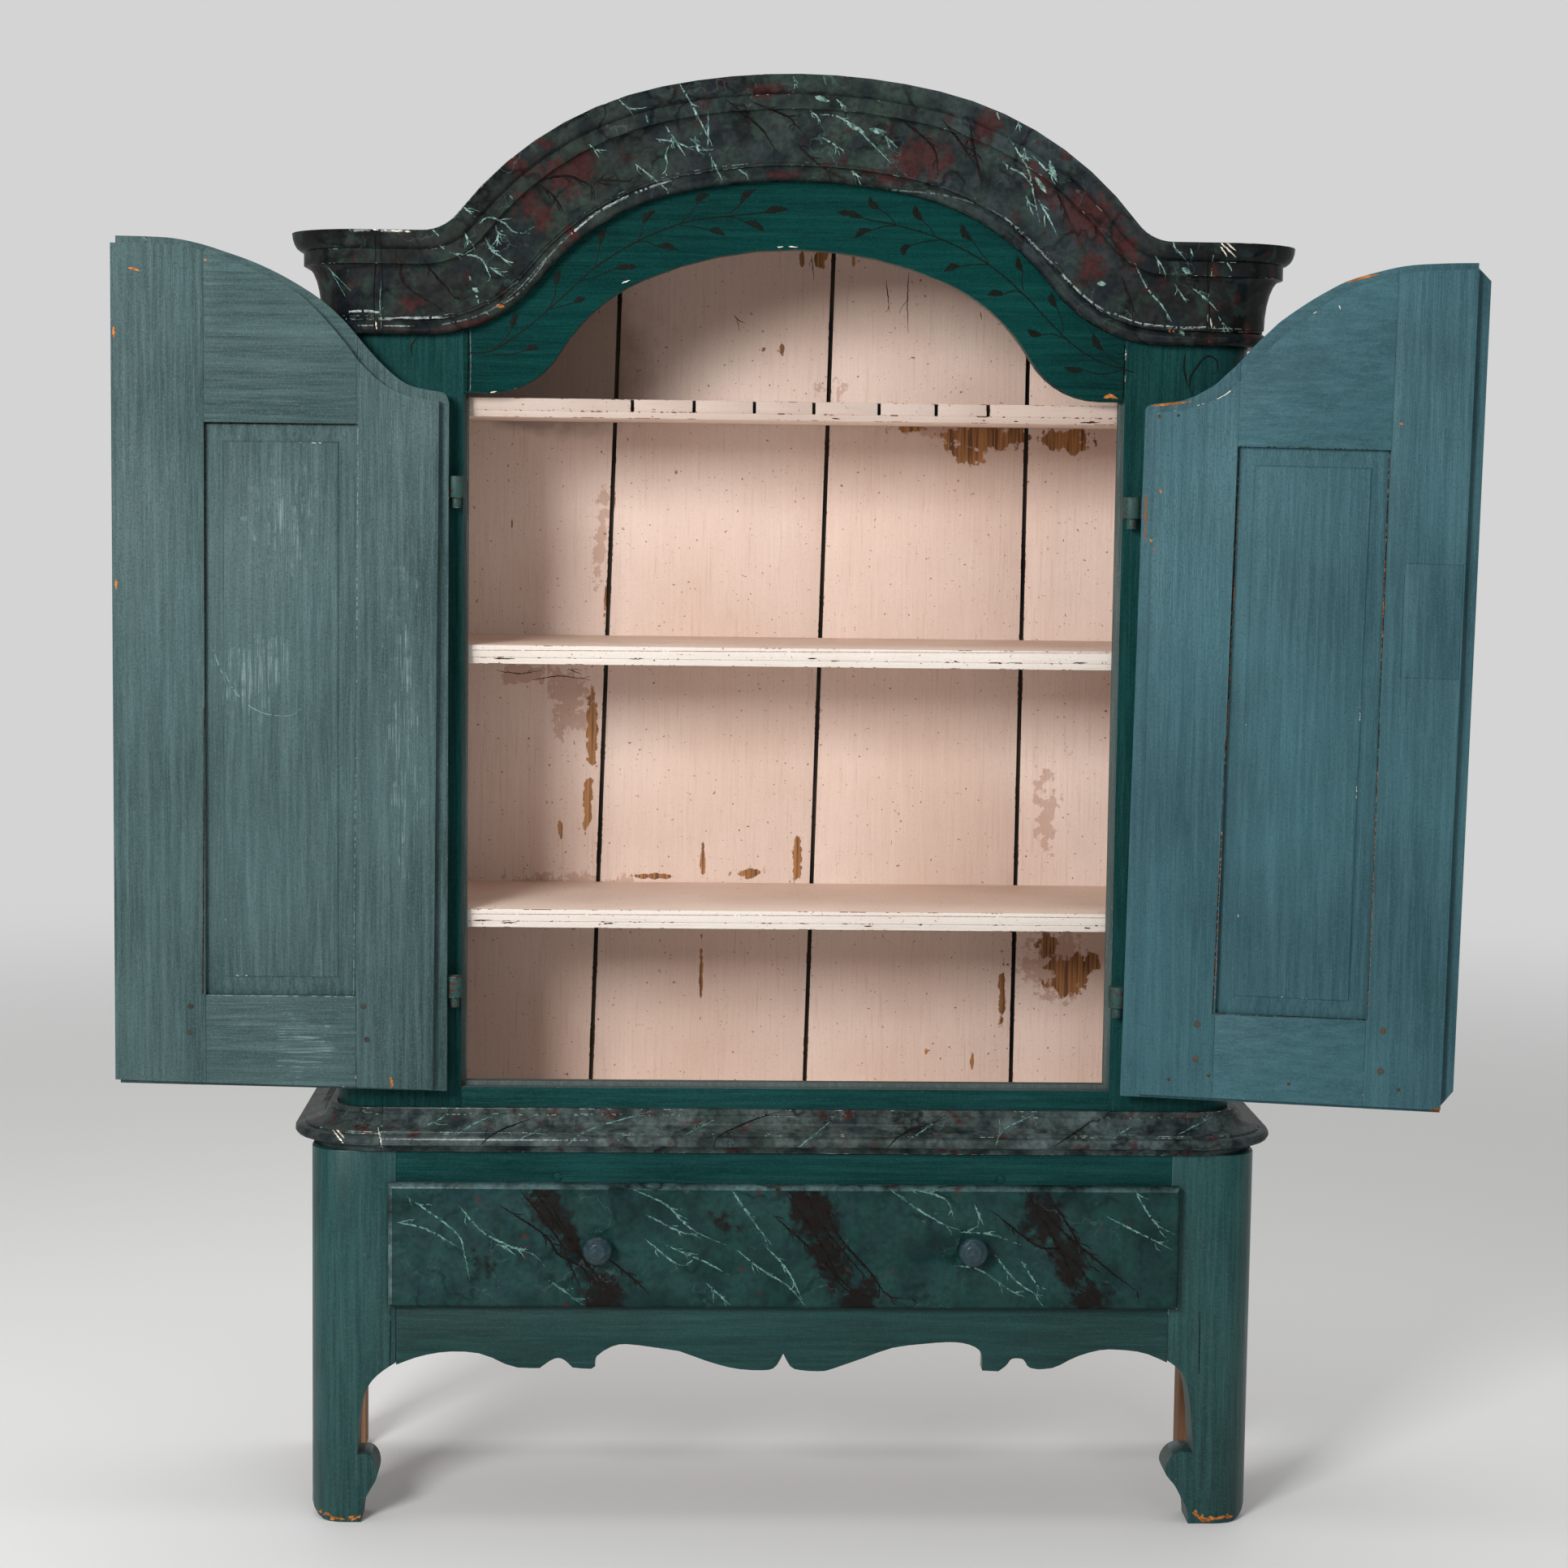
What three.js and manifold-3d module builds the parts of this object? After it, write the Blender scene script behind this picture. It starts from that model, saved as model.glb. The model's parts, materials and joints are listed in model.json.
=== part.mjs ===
// A painted cupboard with an arched top, on a low base that holds one wide drawer.
// Two lipped doors stand open on lift-off hinges and show three shelves in front of a boarded back.
// Lengths are millimetres. X runs to the right, Y to the back and Z up. The pieces are laid out from the
// middle of the width, the front face of the upper case and the floor; the last lines move the origin.
import * as THREE from "three";
import { mergeVertices } from "three/addons/utils/BufferGeometryUtils.js";
import Module from "manifold-3d";

const degree = Math.PI / 180;

// Clearances
const seatGap = 0.3;
const doorGap = 2;
const meetingGap = 13.5;
const lapGap = 1.3;
const pinGap = 0.4;
const eyeNotchGap = 1;
const drawerSideGap = 4;
const drawerTopGap = 5;
const cutOverrun = 25;

// Base: legs, rails and the drawer's opening
const baseHeight = 528;
const baseOverhang = 32;
const baseProud = 28;
const legWidth = 121;
const legDepth = 56;
const legCornerRadius = 50;
const footDrop = 91;
const footCornerRadius = 28;
const rearLegWidth = 46;
const baseSideThickness = 20;
const baseSideDrop = 303;
const baseSideArch = 60;
const railHeight = 50;
const railThickness = 52;
const apronThickness = 28;
const drawerOpeningHeight = 159;
const apronDepth = 100;
const pegRadius = 6.5;
const pegLength = 30;
const pegProud = 1;
const leftPegPlace = -317;
const rightPegPlace = 300;
const pegDrop = 35.5;
const runnerWidth = 75;
const runnerThickness = 20;
const runnerLedge = 25;
const guideWidth = 20;
const guideHeight = 30;

// Upper case: a face frame in front of two sides, a boarded back and a vaulted roof
const caseHalfWidth = 629;
const caseDepth = 364;
const caseCornerRadius = 55;
const frameThickness = 30;
const cornerBlockWidth = 39;
const cornerBlockDepth = 62;
const sideThickness = 20;
const backThickness = 18;
const backLapWidth = 12;
const backBoardLap = 10;
const housingDepth = 8;
const floorThickness = 20;
const shelfThickness = 26;
const shelfHeights = { top_shelf: 1038.7, middle_shelf: 698.7, lower_shelf: 330.7 };
const shelfBeadHeight = 9;
const shelfBeadSetback = 2;
const spoonSlotWidth = 4;
const spoonSlotDepth = 14;
const spoonSlotPlaces = [-223, -138, -55, 27, 117, 196, 268];
const frameRise = 115;
const roofRise = 95;
const roofThickness = 18;
const backSplitBottoms = [-282, 40, 352];
const backSplitTops = [-239, 71, 358];
const backSplitWidth = 6;

// Opening for the doors, with a strip behind its upright edges and over the sill
const stileWidth = 176.5;
const sillHeight = 85;
const stripLip = 6;
const stripDepth = 14.3;
const openingArchInset = 32.5;
const corniceArchInset = 124;
const openingHalfWidth = caseHalfWidth - stileWidth;

// The two arches: their level ends, measured from the bottom of the case, and their tangent arcs. Rises
// and radii are shares of an arch's half span.
const openingLevelHeight = 1043.7;
const corniceLift = 77;
const archSizes = (levelHeight, halfSpan, riseShare, crownShare, hollowShare, crownAngle) => ({
  levelHeight,
  halfSpan,
  crownAngle,
  rise: riseShare * halfSpan,
  crownRadius: crownShare * halfSpan,
  hollowRadius: hollowShare * halfSpan,
});
const openingRiseShare = 0.47738;
const openingCrownShare = 1.23095;
const openingHollowShare = 0.27;
const openingCrownAngle = 23.7 * degree;
const corniceRiseShare = 0.42376;
const corniceCrownShare = 1.46535;
const corniceHollowShare = 0.39208;
const corniceCrownAngle = 12.2 * degree;
const openingArchSizes = archSizes(
  openingLevelHeight,
  openingHalfWidth - openingArchInset,
  openingRiseShare,
  openingCrownShare,
  openingHollowShare,
  openingCrownAngle,
);
const corniceArchSizes = archSizes(
  openingLevelHeight + corniceLift,
  caseHalfWidth - corniceArchInset,
  corniceRiseShare,
  corniceCrownShare,
  corniceHollowShare,
  corniceCrownAngle,
);

// Cornice section: bead, cavetto, fascia and ovolo, as projections and heights from the bead's lower edge
const corniceHeight = 137;
const corniceProud = 62;
const corniceBead = { height: 20, proud: 26, root: 16 };
const corniceFillet = { proud: 20, top: 24 };
const corniceCavetto = { foot: 22, head: 44, top: 93 };
const corniceFascia = { proud: 46, top: 112 };
const mouldingJointInset = 14;

// Waist section: a weathered top, a cavetto and a rounded nose over a small cove
const waistHeight = 57;
const waistProud = 59;
const waistTop = { proud: 10, flat: 8 };
const waistCavetto = { head: 14, foot: 45, bottom: 30 };
const waistNose = { top: 27, middle: 21, bottom: 12, root: 52 };
const waistFoot = { proud: 33 };

// Doors: each has a front layer that laps over the frame and a rear layer that fills the opening. Their
// outlines are drawn closed on the right side. A top curve is given as shares of the opening's half width
// and of the door's height. A rail's height is measured at the door's bottom, or where the opening's arch
// comes level, and the stiles' widths are shares of the opening's half width.
const layerThickness = 14;
const leftLipShares = [
    [-0.0199, 1.0013], [0.1123, 1.0008], [0.189, 0.999], [0.2652, 0.9931], [0.3394, 0.9843],
    [0.4161, 0.974], [0.4928, 0.9607], [0.5695, 0.9438], [0.632, 0.927], [0.6849, 0.9083],
    [0.7235, 0.8911], [0.762, 0.8733], [0.8007, 0.8574], [0.8393, 0.8439], [0.878, 0.8343],
    [0.931, 0.8288], [0.9724, 0.8267], [0.9901, 0.8233], [0.9989, 0.8146],
];
const leftRearShares = [
    [-0.0199, 0.9922], [0.1388, 0.9919], [0.2696, 0.9853], [0.3439, 0.9769], [0.4199, 0.9643],
    [0.4966, 0.9513], [0.5587, 0.9361], [0.6115, 0.9175], [0.6497, 0.9015], [0.6882, 0.8838],
    [0.7266, 0.8652], [0.7722, 0.8453], [0.8252, 0.8299], [0.8807, 0.8209], [0.9392, 0.8168],
    [0.9724, 0.8155],
];
const rightLipShares = [
    [-0.0199, 0.9948], [0.0351, 0.9946], [0.1293, 0.9935], [0.2312, 0.9904], [0.3101, 0.9836],
    [0.4038, 0.9722], [0.465, 0.9598], [0.5271, 0.9446], [0.5967, 0.9248], [0.629, 0.9129],
    [0.6659, 0.8985], [0.6935, 0.8861], [0.7257, 0.8717], [0.758, 0.8596], [0.7861, 0.849],
    [0.8239, 0.8397], [0.8522, 0.8337], [0.8994, 0.8276], [0.9481, 0.8254], [0.9724, 0.8239],
    [0.9878, 0.8211], [0.9929, 0.8164],
];
const rightRearShares = [
    [-0.0199, 0.9866], [0.034, 0.9863], [0.1326, 0.9849], [0.2298, 0.9814], [0.3094, 0.9736],
    [0.4022, 0.9607], [0.4641, 0.9456], [0.5028, 0.9343], [0.5348, 0.9242], [0.5722, 0.9127],
    [0.6088, 0.9002], [0.6365, 0.8888], [0.6636, 0.876], [0.6866, 0.8652], [0.7094, 0.8548],
    [0.728, 0.847], [0.7558, 0.838], [0.7794, 0.8325], [0.8124, 0.8262], [0.8504, 0.8211],
    [0.8884, 0.8172], [0.9319, 0.8151], [0.9585, 0.8145],
];
const leftStileShares = { meeting: 0.27403, hinge: 0.27293 };
const rightStileShares = { meeting: 0.26077, hinge: 0.28619 };
const leftLip = { footInset: 0.5, rise: -1.3, slant: 9 };
const leftRear = { footInset: 18.5, rise: 2.7, slant: 12 };
const rightLip = { footInset: 3.2, rise: -1.3, slant: 0 };
const rightRear = { footInset: 25.5, rise: 4.7, slant: 0 };
const leftRails = { bottom: 132.7, top: 45 };
const rightRails = { bottom: 123.2, top: 57.5 };
const leftEyes = { lower: 127.7, upper: 814.7 };
const rightEyes = { lower: 119.7, upper: 797.7 };
const leftAngle = 180 * degree;
const rightAngle = 169.9 * degree;
const leftLean = 0 * degree;
const rightLean = 0.39 * degree;
const lapStrip = 17;
const rightRearEdge = 13;
const lapTop = { drop: 13, chamfer: 30 };
const lapBottom = { rise: 7, chamfer: 29 };
const tongueThickness = 6;
const tongueDepth = 8;
const fieldInset = 24;
const fieldStep = 2;
const fieldSlope = 4;
const tenonLength = 70;
const tenonThickness = 8;
const upperTenon = { rise: 9, height: 20 };
const lowerTenon = { drop: 15, height: 45 };
const patchWidth = 77;
const patchHeight = 154;
const patchThickness = 6;
const patchEdgeInset = 3;
const patchRise = 594;

// Lift-off hinges: a rolled eye on the door over a pintle driven into the stile
const hingeOffset = 8.5;
const hingeStandOff = 18;
const leanHeight = 471;
const eyeRadius = 12.5;
const pinRadius = 4.5;
const eyeHeight = 29;
const strapThickness = 3;
const strapLength = 48;
const collarRadius = 7;
const collarHeight = 14;
const spikeWidth = 9;
const spikeDepth = 20;

// Drawer
const drawerFrontSideLip = 10;
const drawerFrontHeight = 173;
const drawerFrontThickness = 18;
const drawerFrontBevel = 6;
const drawerLip = 7;
const drawerInnerThickness = 18;
const drawerBoardThickness = 14;
const drawerRearGap = 14;
const drawerBottomThickness = 8;
const drawerBottomRise = 8;
const drawerGroove = 6;
const knobPlace = 260;
const knobRadius = 20.5;
const knobLength = 34;
const knobDome = 13.6;
const knobBallEnd = 54 * degree;
const knobNeckRadius = 12;
const knobTenonRadius = 8;
const knobTenonLength = 30;

// Places that follow from the sizes above
const caseBottom = baseHeight + seatGap;
const cornerStart = caseHalfWidth - caseCornerRadius;
const baseHalfWidth = caseHalfWidth + baseOverhang;
const legInner = baseHalfWidth - legWidth;
const apronTop = baseHeight - railHeight - drawerOpeningHeight;
const footHeight = apronTop - footDrop;
const drawerFrontHalfWidth = legInner + drawerFrontSideLip;
const backFront = caseDepth - backThickness;
const sideInner = caseHalfWidth - sideThickness;
const doorThickness = 2 * layerThickness;
const sillTop = caseBottom + sillHeight;
const doorBottom = sillTop + doorGap;
const doorHeight = openingArchSizes.levelHeight + openingArchSizes.rise - sillHeight - doorGap;
const pivotX = openingHalfWidth + hingeOffset;
const pivotDepth = layerThickness + seatGap - hingeStandOff;
const leanLevel = doorBottom + leanHeight;
const skyline = caseBottom + corniceArchSizes.levelHeight + corniceArchSizes.rise + corniceHeight;

// Where a door's panel shows between its stiles and rails
const panelPlace = (stileShares, rails) => ({
  inner: stileShares.meeting * openingHalfWidth,
  outer: (1 - stileShares.hinge) * openingHalfWidth,
  bottom: doorBottom + rails.bottom,
  top: caseBottom + openingLevelHeight - rails.top,
});
const doorSizes = {
  left: {
    lip: { topShares: leftLipShares, ...leftLip },
    rear: { topShares: leftRearShares, ...leftRear },
    panel: panelPlace(leftStileShares, leftRails),
    eyes: leftEyes,
    angle: leftAngle,
    lean: leftLean,
  },
  right: {
    lip: { topShares: rightLipShares, ...rightLip },
    rear: { topShares: rightRearShares, ...rightRear },
    panel: panelPlace(rightStileShares, rightRails),
    eyes: rightEyes,
    angle: rightAngle,
    lean: rightLean,
  },
};

const wasm = await Module();
wasm.setup();

// A closed geometry as a solid that can be joined and cut.
function toSolid(geometry) {
  const bare = geometry.clone();
  bare.deleteAttribute("normal");
  bare.deleteAttribute("uv");
  const merged = mergeVertices(bare);
  return new wasm.Manifold(
    new wasm.Mesh({
      numProp: 3,
      vertProperties: merged.attributes.position.array,
      triVerts: new Uint32Array(merged.index.array),
    }),
  );
}

// A solid back as a geometry, turned over left to right where mirror is true.
function toGeometry(solid, mirror = false) {
  const { vertProperties, triVerts } = solid.getMesh();
  const places = new Float32Array(vertProperties);
  const corners = Array.from(triVerts);
  if (mirror) {
    for (let i = 0; i < places.length; i += 3) places[i] = -places[i];
    corners.reverse();
  }
  const geometry = new THREE.BufferGeometry();
  geometry.setAttribute("position", new THREE.BufferAttribute(places, 3));
  geometry.setIndex(corners);
  const faceted = geometry.toNonIndexed();
  faceted.computeVertexNormals();
  return faceted;
}

// A box between two corners.
function block([x0, x1], [y0, y1], [z0, z1]) {
  const box = new THREE.BoxGeometry(x1 - x0, y1 - y0, z1 - z0);
  return toSolid(box.translate((x0 + x1) / 2, (y0 + y1) / 2, (z0 + z1) / 2));
}

// An outline pushed along its own normal and then turned so that its axes point along the given ones.
function extruded(points, depth, xAxis, yAxis, zAxis) {
  const shape = new THREE.Shape(points.map(([a, b]) => new THREE.Vector2(a, b)));
  const geometry = new THREE.ExtrudeGeometry(shape, { depth, bevelEnabled: false });
  return geometry.applyMatrix4(new THREE.Matrix4().makeBasis(xAxis, yAxis, zAxis));
}

const right = new THREE.Vector3(1, 0, 0);
const back = new THREE.Vector3(0, 1, 0);
const front = new THREE.Vector3(0, -1, 0);
const up = new THREE.Vector3(0, 0, 1);

// A board whose front outline is given in X and Z.
const frontBoard = (points, [y0, y1]) =>
  toSolid(extruded(points, y1 - y0, right, up, front).translate(0, y1, 0));

// A post whose plan is given in X and Y.
const post = (points, [z0, z1]) => toSolid(extruded(points, z1 - z0, right, back, up).translate(0, 0, z0));

// A board whose side outline is given in Y and Z.
const sideBoard = (points, [x0, x1]) =>
  toSolid(extruded(points, x1 - x0, back, up, right).translate(x0, 0, 0));

// A round bar along Z or along Y.
const uprightBar = (radius, [z0, z1], x, y, sides) =>
  toSolid(new THREE.CylinderGeometry(radius, radius, z1 - z0, sides).rotateX(Math.PI / 2)
    .translate(x, y, (z0 + z1) / 2));
const levelBar = (radius, [y0, y1], x, z, sides) =>
  toSolid(new THREE.CylinderGeometry(radius, radius, y1 - y0, sides).translate(x, (y0 + y1) / 2, z));

// A solid through rings of matching points, closed at both ends with the outline that the rings repeat.
function lofted(outline, rings) {
  const places = rings.flatMap((ring) => ring.flatMap((point) => point.toArray()));
  const caps = THREE.ShapeUtils.triangulateShape(outline.map(([a, b]) => new THREE.Vector2(a, b)), []);
  const count = outline.length;
  const last = (rings.length - 1) * count;
  const corners = [];
  for (let ring = 0; ring < rings.length - 1; ring++) {
    for (let i = 0; i < count; i++) {
      const a = ring * count + i;
      const b = ring * count + ((i + 1) % count);
      corners.push(a, a + count, b + count, a, b + count, b);
    }
  }
  for (const [a, b, c] of caps) corners.push(a, b, c, last + c, last + b, last + a);
  const geometry = new THREE.BufferGeometry();
  geometry.setAttribute("position", new THREE.Float32BufferAttribute(places, 3));
  geometry.setIndex(corners);
  return toSolid(geometry);
}

// Points on an ellipse's arc, from one angle to another.
function arc([centreA, centreB], [radiusA, radiusB], from, to, steps) {
  return Array.from({ length: steps + 1 }, (_, i) => {
    const angle = from + ((to - from) * i) / steps;
    return [centreA + radiusA * Math.cos(angle), centreB + radiusB * Math.sin(angle)];
  });
}

// The stations of an arch that is level at its ends: a crown arc, a shoulder arc that meets it, and a
// hollow arc that brings the curve back to level. The shoulder's radius and end follow from the others.
// A station is a place on the curve with its upward normal.
function archStations({ levelHeight, rise, halfSpan, crownRadius, crownAngle, hollowRadius }, halfWidth) {
  const level = caseBottom + levelHeight;
  const crownCentre = new THREE.Vector2(0, level + rise - crownRadius);
  const hollowCentre = new THREE.Vector2(halfSpan, level + hollowRadius);
  const toHollow = hollowCentre.clone().sub(crownCentre);
  const crownEnd = new THREE.Vector2(Math.sin(crownAngle), Math.cos(crownAngle));
  const reach = crownRadius + hollowRadius;
  const inset = (toHollow.lengthSq() - reach * reach) / (2 * (toHollow.dot(crownEnd) - reach));
  const shoulderCentre = crownCentre.clone().addScaledVector(crownEnd, inset);
  const toShoulder = hollowCentre.clone().sub(shoulderCentre);
  const shoulderAngle = Math.atan2(toShoulder.x, toShoulder.y);
  const half = [];
  const addArc = (centre, radius, from, to, steps) => {
    for (let i = 1; i <= steps; i++) {
      const angle = from + ((to - from) * i) / steps;
      const normal = new THREE.Vector2(Math.sin(angle), Math.cos(angle));
      half.push({ place: centre.clone().addScaledVector(normal, radius), normal });
    }
  };
  addArc(crownCentre, crownRadius, 0, crownAngle, 4);
  addArc(shoulderCentre, crownRadius - inset, crownAngle, shoulderAngle, 7);
  addArc(hollowCentre, -hollowRadius, shoulderAngle, 0, 7);
  half.push({ place: new THREE.Vector2(halfWidth, level), normal: new THREE.Vector2(0, 1) });
  const crown = { place: new THREE.Vector2(0, level + rise), normal: new THREE.Vector2(0, 1) };
  const mirrored = half.map(({ place, normal }) => ({
    place: new THREE.Vector2(-place.x, place.y),
    normal: new THREE.Vector2(-normal.x, normal.y),
  }));
  return [...mirrored.reverse(), crown, ...half];
}

// Everything under an arch that is moved outward by an offset, down to a floor level.
function underArch(sizes, offset, floor, depth) {
  const halfWidth = caseHalfWidth + cutOverrun;
  const curve = archStations(sizes, halfWidth).map(({ place, normal }) => [
    place.x + normal.x * offset,
    place.y + normal.y * offset,
  ]);
  return frontBoard([[-halfWidth, floor], ...curve, [halfWidth, floor]], depth);
}

// What the case may fill: the face frame rises higher than the roof behind it.
const caseMask = underArch(corniceArchSizes, frameRise, 0, [-cutOverrun, frameThickness]).add(
  underArch(corniceArchSizes, roofRise - seatGap, 0, [-cutOverrun, caseDepth + cutOverrun]),
);

const cupboard = new THREE.Group();
cupboard.name = "arched_cupboard";
const leftDoor = new THREE.Group();
const rightDoor = new THREE.Group();
const drawer = new THREE.Group();
cupboard.add(leftDoor, rightDoor, drawer);

const paint = (color, roughness = 0.5) => new THREE.MeshStandardMaterial({ color, roughness, metalness: 0 });
const greenPaint = () => paint("#12504a");
const doorPaint = () => paint("#456a6b");
const pinkPaint = () => paint("#c9a696", 0.7);
const marblePaint = () => paint("#33433d", 0.35);
const drawerPaint = () => paint("#245650", 0.4);
const bareWood = () => paint("#8a6748", 0.8);
const paintedIron = () =>
  new THREE.MeshStandardMaterial({ color: "#3b4f4f", roughness: 0.55, metalness: 0.3 });

// A named mesh in a group. A piece drawn for the right side is turned over for the left one.
function place(group, name, solid, material, mirror = false) {
  const mesh = new THREE.Mesh(toGeometry(solid, mirror), material);
  mesh.name = name;
  group.add(mesh);
}

// The same piece on both sides.
function placePair(group, name, solid, material) {
  place(group, `left_${name}`, solid, material(), true);
  place(group, `right_${name}`, solid, material());
}

// A smooth run of points through places given as shares of a width and a height.
function curveOfShares(shares, width, height, steps) {
  const curve = new THREE.SplineCurve(shares.map(([a, b]) => new THREE.Vector2(a * width, b * height)));
  return curve.getPoints(steps).map((point) => point.toArray());
}

// A front leg: its inner edge swells, is nicked and ends in a scrolled foot. The two scrolls differ.
function buildFrontLegs() {
  const leftShankShares = [[0, 1], [0.061, 0.981], [0.187, 0.933], [0.28, 0.882], [0.35, 0.818],
    [0.391, 0.755], [0.419, 0.666], [0.433, 0.564], [0.442, 0.424]];
  const leftScrollShares = [[0.442, 0.424], [0.326, 0.427], [0.256, 0.399], [0.22, 0.361], [0.209, 0.31],
    [0.232, 0.259], [0.302, 0.195], [0.36, 0.131], [0.386, 0.067], [0.4, 0]];
  const rightShankShares = [[0, 1.03], [0.161, 0.963], [0.242, 0.86], [0.287, 0.707], [0.31, 0.57],
    [0.328, 0.45]];
  const rightScrollShares = [[0.328, 0.45], [0.185, 0.455], [0.072, 0.424], [0.004, 0.362], [0.021, 0.306],
    [0.119, 0.244], [0.198, 0.167], [0.268, 0.095], [0.285, 0]];
  const legBack = legDepth - baseProud;
  const heel = arc(
    [baseHalfWidth - footCornerRadius, footCornerRadius],
    [footCornerRadius, footCornerRadius],
    -Math.PI / 2,
    0,
    5,
  );
  const corner = arc(
    [baseHalfWidth - legCornerRadius, legCornerRadius - baseProud],
    [legCornerRadius, legCornerRadius],
    -Math.PI / 2,
    0,
    7,
  );
  const plan = [[legInner, legBack], [legInner, -baseProud], ...corner, [baseHalfWidth, legBack]];
  const leg = (shankShares, scrollShares) => {
    const inner = [
      ...curveOfShares(shankShares, legWidth, footHeight, 14),
      ...curveOfShares(scrollShares, legWidth, footHeight, 18).slice(1),
    ].map(([a, b]) => [legInner + a, b]);
    const outline = [[legInner, baseHeight], ...inner, ...heel, [baseHalfWidth, baseHeight]];
    return frontBoard(outline, [-baseProud, legBack]).intersect(post(plan, [0, baseHeight]));
  };
  place(cupboard, "left_front_leg", leg(leftShankShares, leftScrollShares), greenPaint(), true);
  place(cupboard, "right_front_leg", leg(rightShankShares, rightScrollShares), greenPaint());
}

// Square rear legs and the shaped board between each pair of legs.
function buildBaseSides() {
  const legFront = caseDepth - rearLegWidth;
  const legSides = [baseHalfWidth - rearLegWidth, baseHalfWidth];
  const rearLeg = block(legSides, [legFront, caseDepth], [0, baseHeight]);
  placePair(cupboard, "rear_leg", rearLeg, bareWood);
  const from = legDepth - baseProud + seatGap;
  const to = legFront - seatGap;
  const edge = baseHeight - baseSideDrop;
  const arch = arc([(from + to) / 2, edge], [(to - from) / 2, baseSideArch], 0, Math.PI, 12);
  const outline = [[from, baseHeight], ...arch.reverse(), [to, baseHeight]];
  const side = sideBoard(outline, [baseHalfWidth - baseSideThickness, baseHalfWidth]);
  placePair(cupboard, "base_side", side, greenPaint);
}

// The rail over the drawer with its two pegs, the scalloped apron under it, and the back of the base.
function buildBaseFront() {
  const halfWidth = legInner - seatGap;
  const railBottom = baseHeight - railHeight;
  const railDepth = [-baseProud, railThickness - baseProud];
  let rail = block([-halfWidth, halfWidth], railDepth, [railBottom, baseHeight]);
  const pegHeight = baseHeight - pegDrop;
  const pegs = { left_rail_peg: leftPegPlace, right_rail_peg: rightPegPlace };
  for (const [name, x] of Object.entries(pegs)) {
    const depth = [-baseProud - pegProud, pegLength - baseProud];
    const hole = [-baseProud - cutOverrun, depth[1] + seatGap];
    rail = rail.subtract(levelBar(pegRadius + seatGap, hole, x, pegHeight, 16));
    place(cupboard, name, levelBar(pegRadius, depth, x, pegHeight, 16), greenPaint());
  }
  place(cupboard, "base_upper_rail", rail, greenPaint());

  const leftOuterShares = [[-1, 0.06], [-0.94, 0.18], [-0.865, 0.25], [-0.78, 0.22], [-0.7, 0.04],
    [-0.63, 0.02]];
  const leftNoseShares = [[-0.63, 0.02], [-0.595, 0.15], [-0.57, 0.15], [-0.545, 0.03]];
  const leftHookShares = [[-0.545, 0.03], [-0.49, 0.02], [-0.485, 0.18], [-0.44, 0.34], [-0.39, 0.36],
    [-0.27, 0.27]];
  const leftInnerShares = [[-0.27, 0.27], [-0.187, 0.11], [-0.12, 0.02], [-0.05, 0], [-0.02, 0.05],
    [0, 0.24]];
  const rightInnerShares = [[0, 0.24], [0.02, 0.05], [0.05, 0], [0.1, -0.01], [0.127, 0.023], [0.2, 0.163],
    [0.284, 0.328], [0.368, 0.387], [0.431, 0.412], [0.474, 0.39], [0.506, 0.315], [0.517, 0.199],
    [0.517, 0.007]];
  const rightNoseShares = [[0.56, -0.004], [0.581, 0.084], [0.593, 0.171], [0.612, 0.183], [0.626, 0.16],
    [0.639, 0.056], [0.665, 0.027]];
  const rightOuterShares = [[0.665, 0.027], [0.708, 0.057], [0.76, 0.203], [0.823, 0.304], [0.876, 0.31],
    [0.94, 0.265], [1, 0.13]];
  const shapes = [leftOuterShares, leftNoseShares, leftHookShares, leftInnerShares, rightInnerShares];
  const edge = [...shapes, rightNoseShares, rightOuterShares].flatMap((shares, i) => {
    const points = curveOfShares(shares, halfWidth, apronDepth, 2 * shares.length);
    return i === 0 || i === shapes.length ? points : points.slice(1);
  });
  const top = [[halfWidth, apronTop], [-halfWidth, apronTop]];
  const outline = [...edge.map(([x, z]) => [x, apronTop - apronDepth + z]), ...top];
  const apron = frontBoard(outline, [-baseProud, apronThickness - baseProud]);
  place(cupboard, "apron", apron, greenPaint());

  const backHalfWidth = baseHalfWidth - rearLegWidth - seatGap;
  const drop = [baseHeight - baseSideDrop, baseHeight];
  const backBoard = block([-backHalfWidth, backHalfWidth], [backFront, caseDepth], drop);
  place(cupboard, "base_back", backBoard, bareWood());
}

// Runners that carry the drawer's sides, each with a guide beside the drawer.
function buildRunners() {
  const inner = legInner - runnerLedge;
  const behindLeg = legDepth - baseProud + seatGap;
  const depth = [apronThickness - baseProud + seatGap, backFront - seatGap];
  const height = [apronTop - runnerThickness, apronTop];
  const ledge = block([inner, legInner - seatGap], depth, height);
  const shelf = block([inner, inner + runnerWidth], [behindLeg, depth[1]], height);
  const guideLevels = [height[0], apronTop + guideHeight];
  const guide = block([legInner, legInner + guideWidth], [behindLeg, depth[1]], guideLevels);
  placePair(cupboard, "drawer_runner", shelf.add(ledge).add(guide), bareWood);
}

// The rounded front corner of the case in plan.
const caseCorner = () =>
  arc([cornerStart, caseCornerRadius], [caseCornerRadius, caseCornerRadius], -Math.PI / 2, 0, 8);

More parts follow.
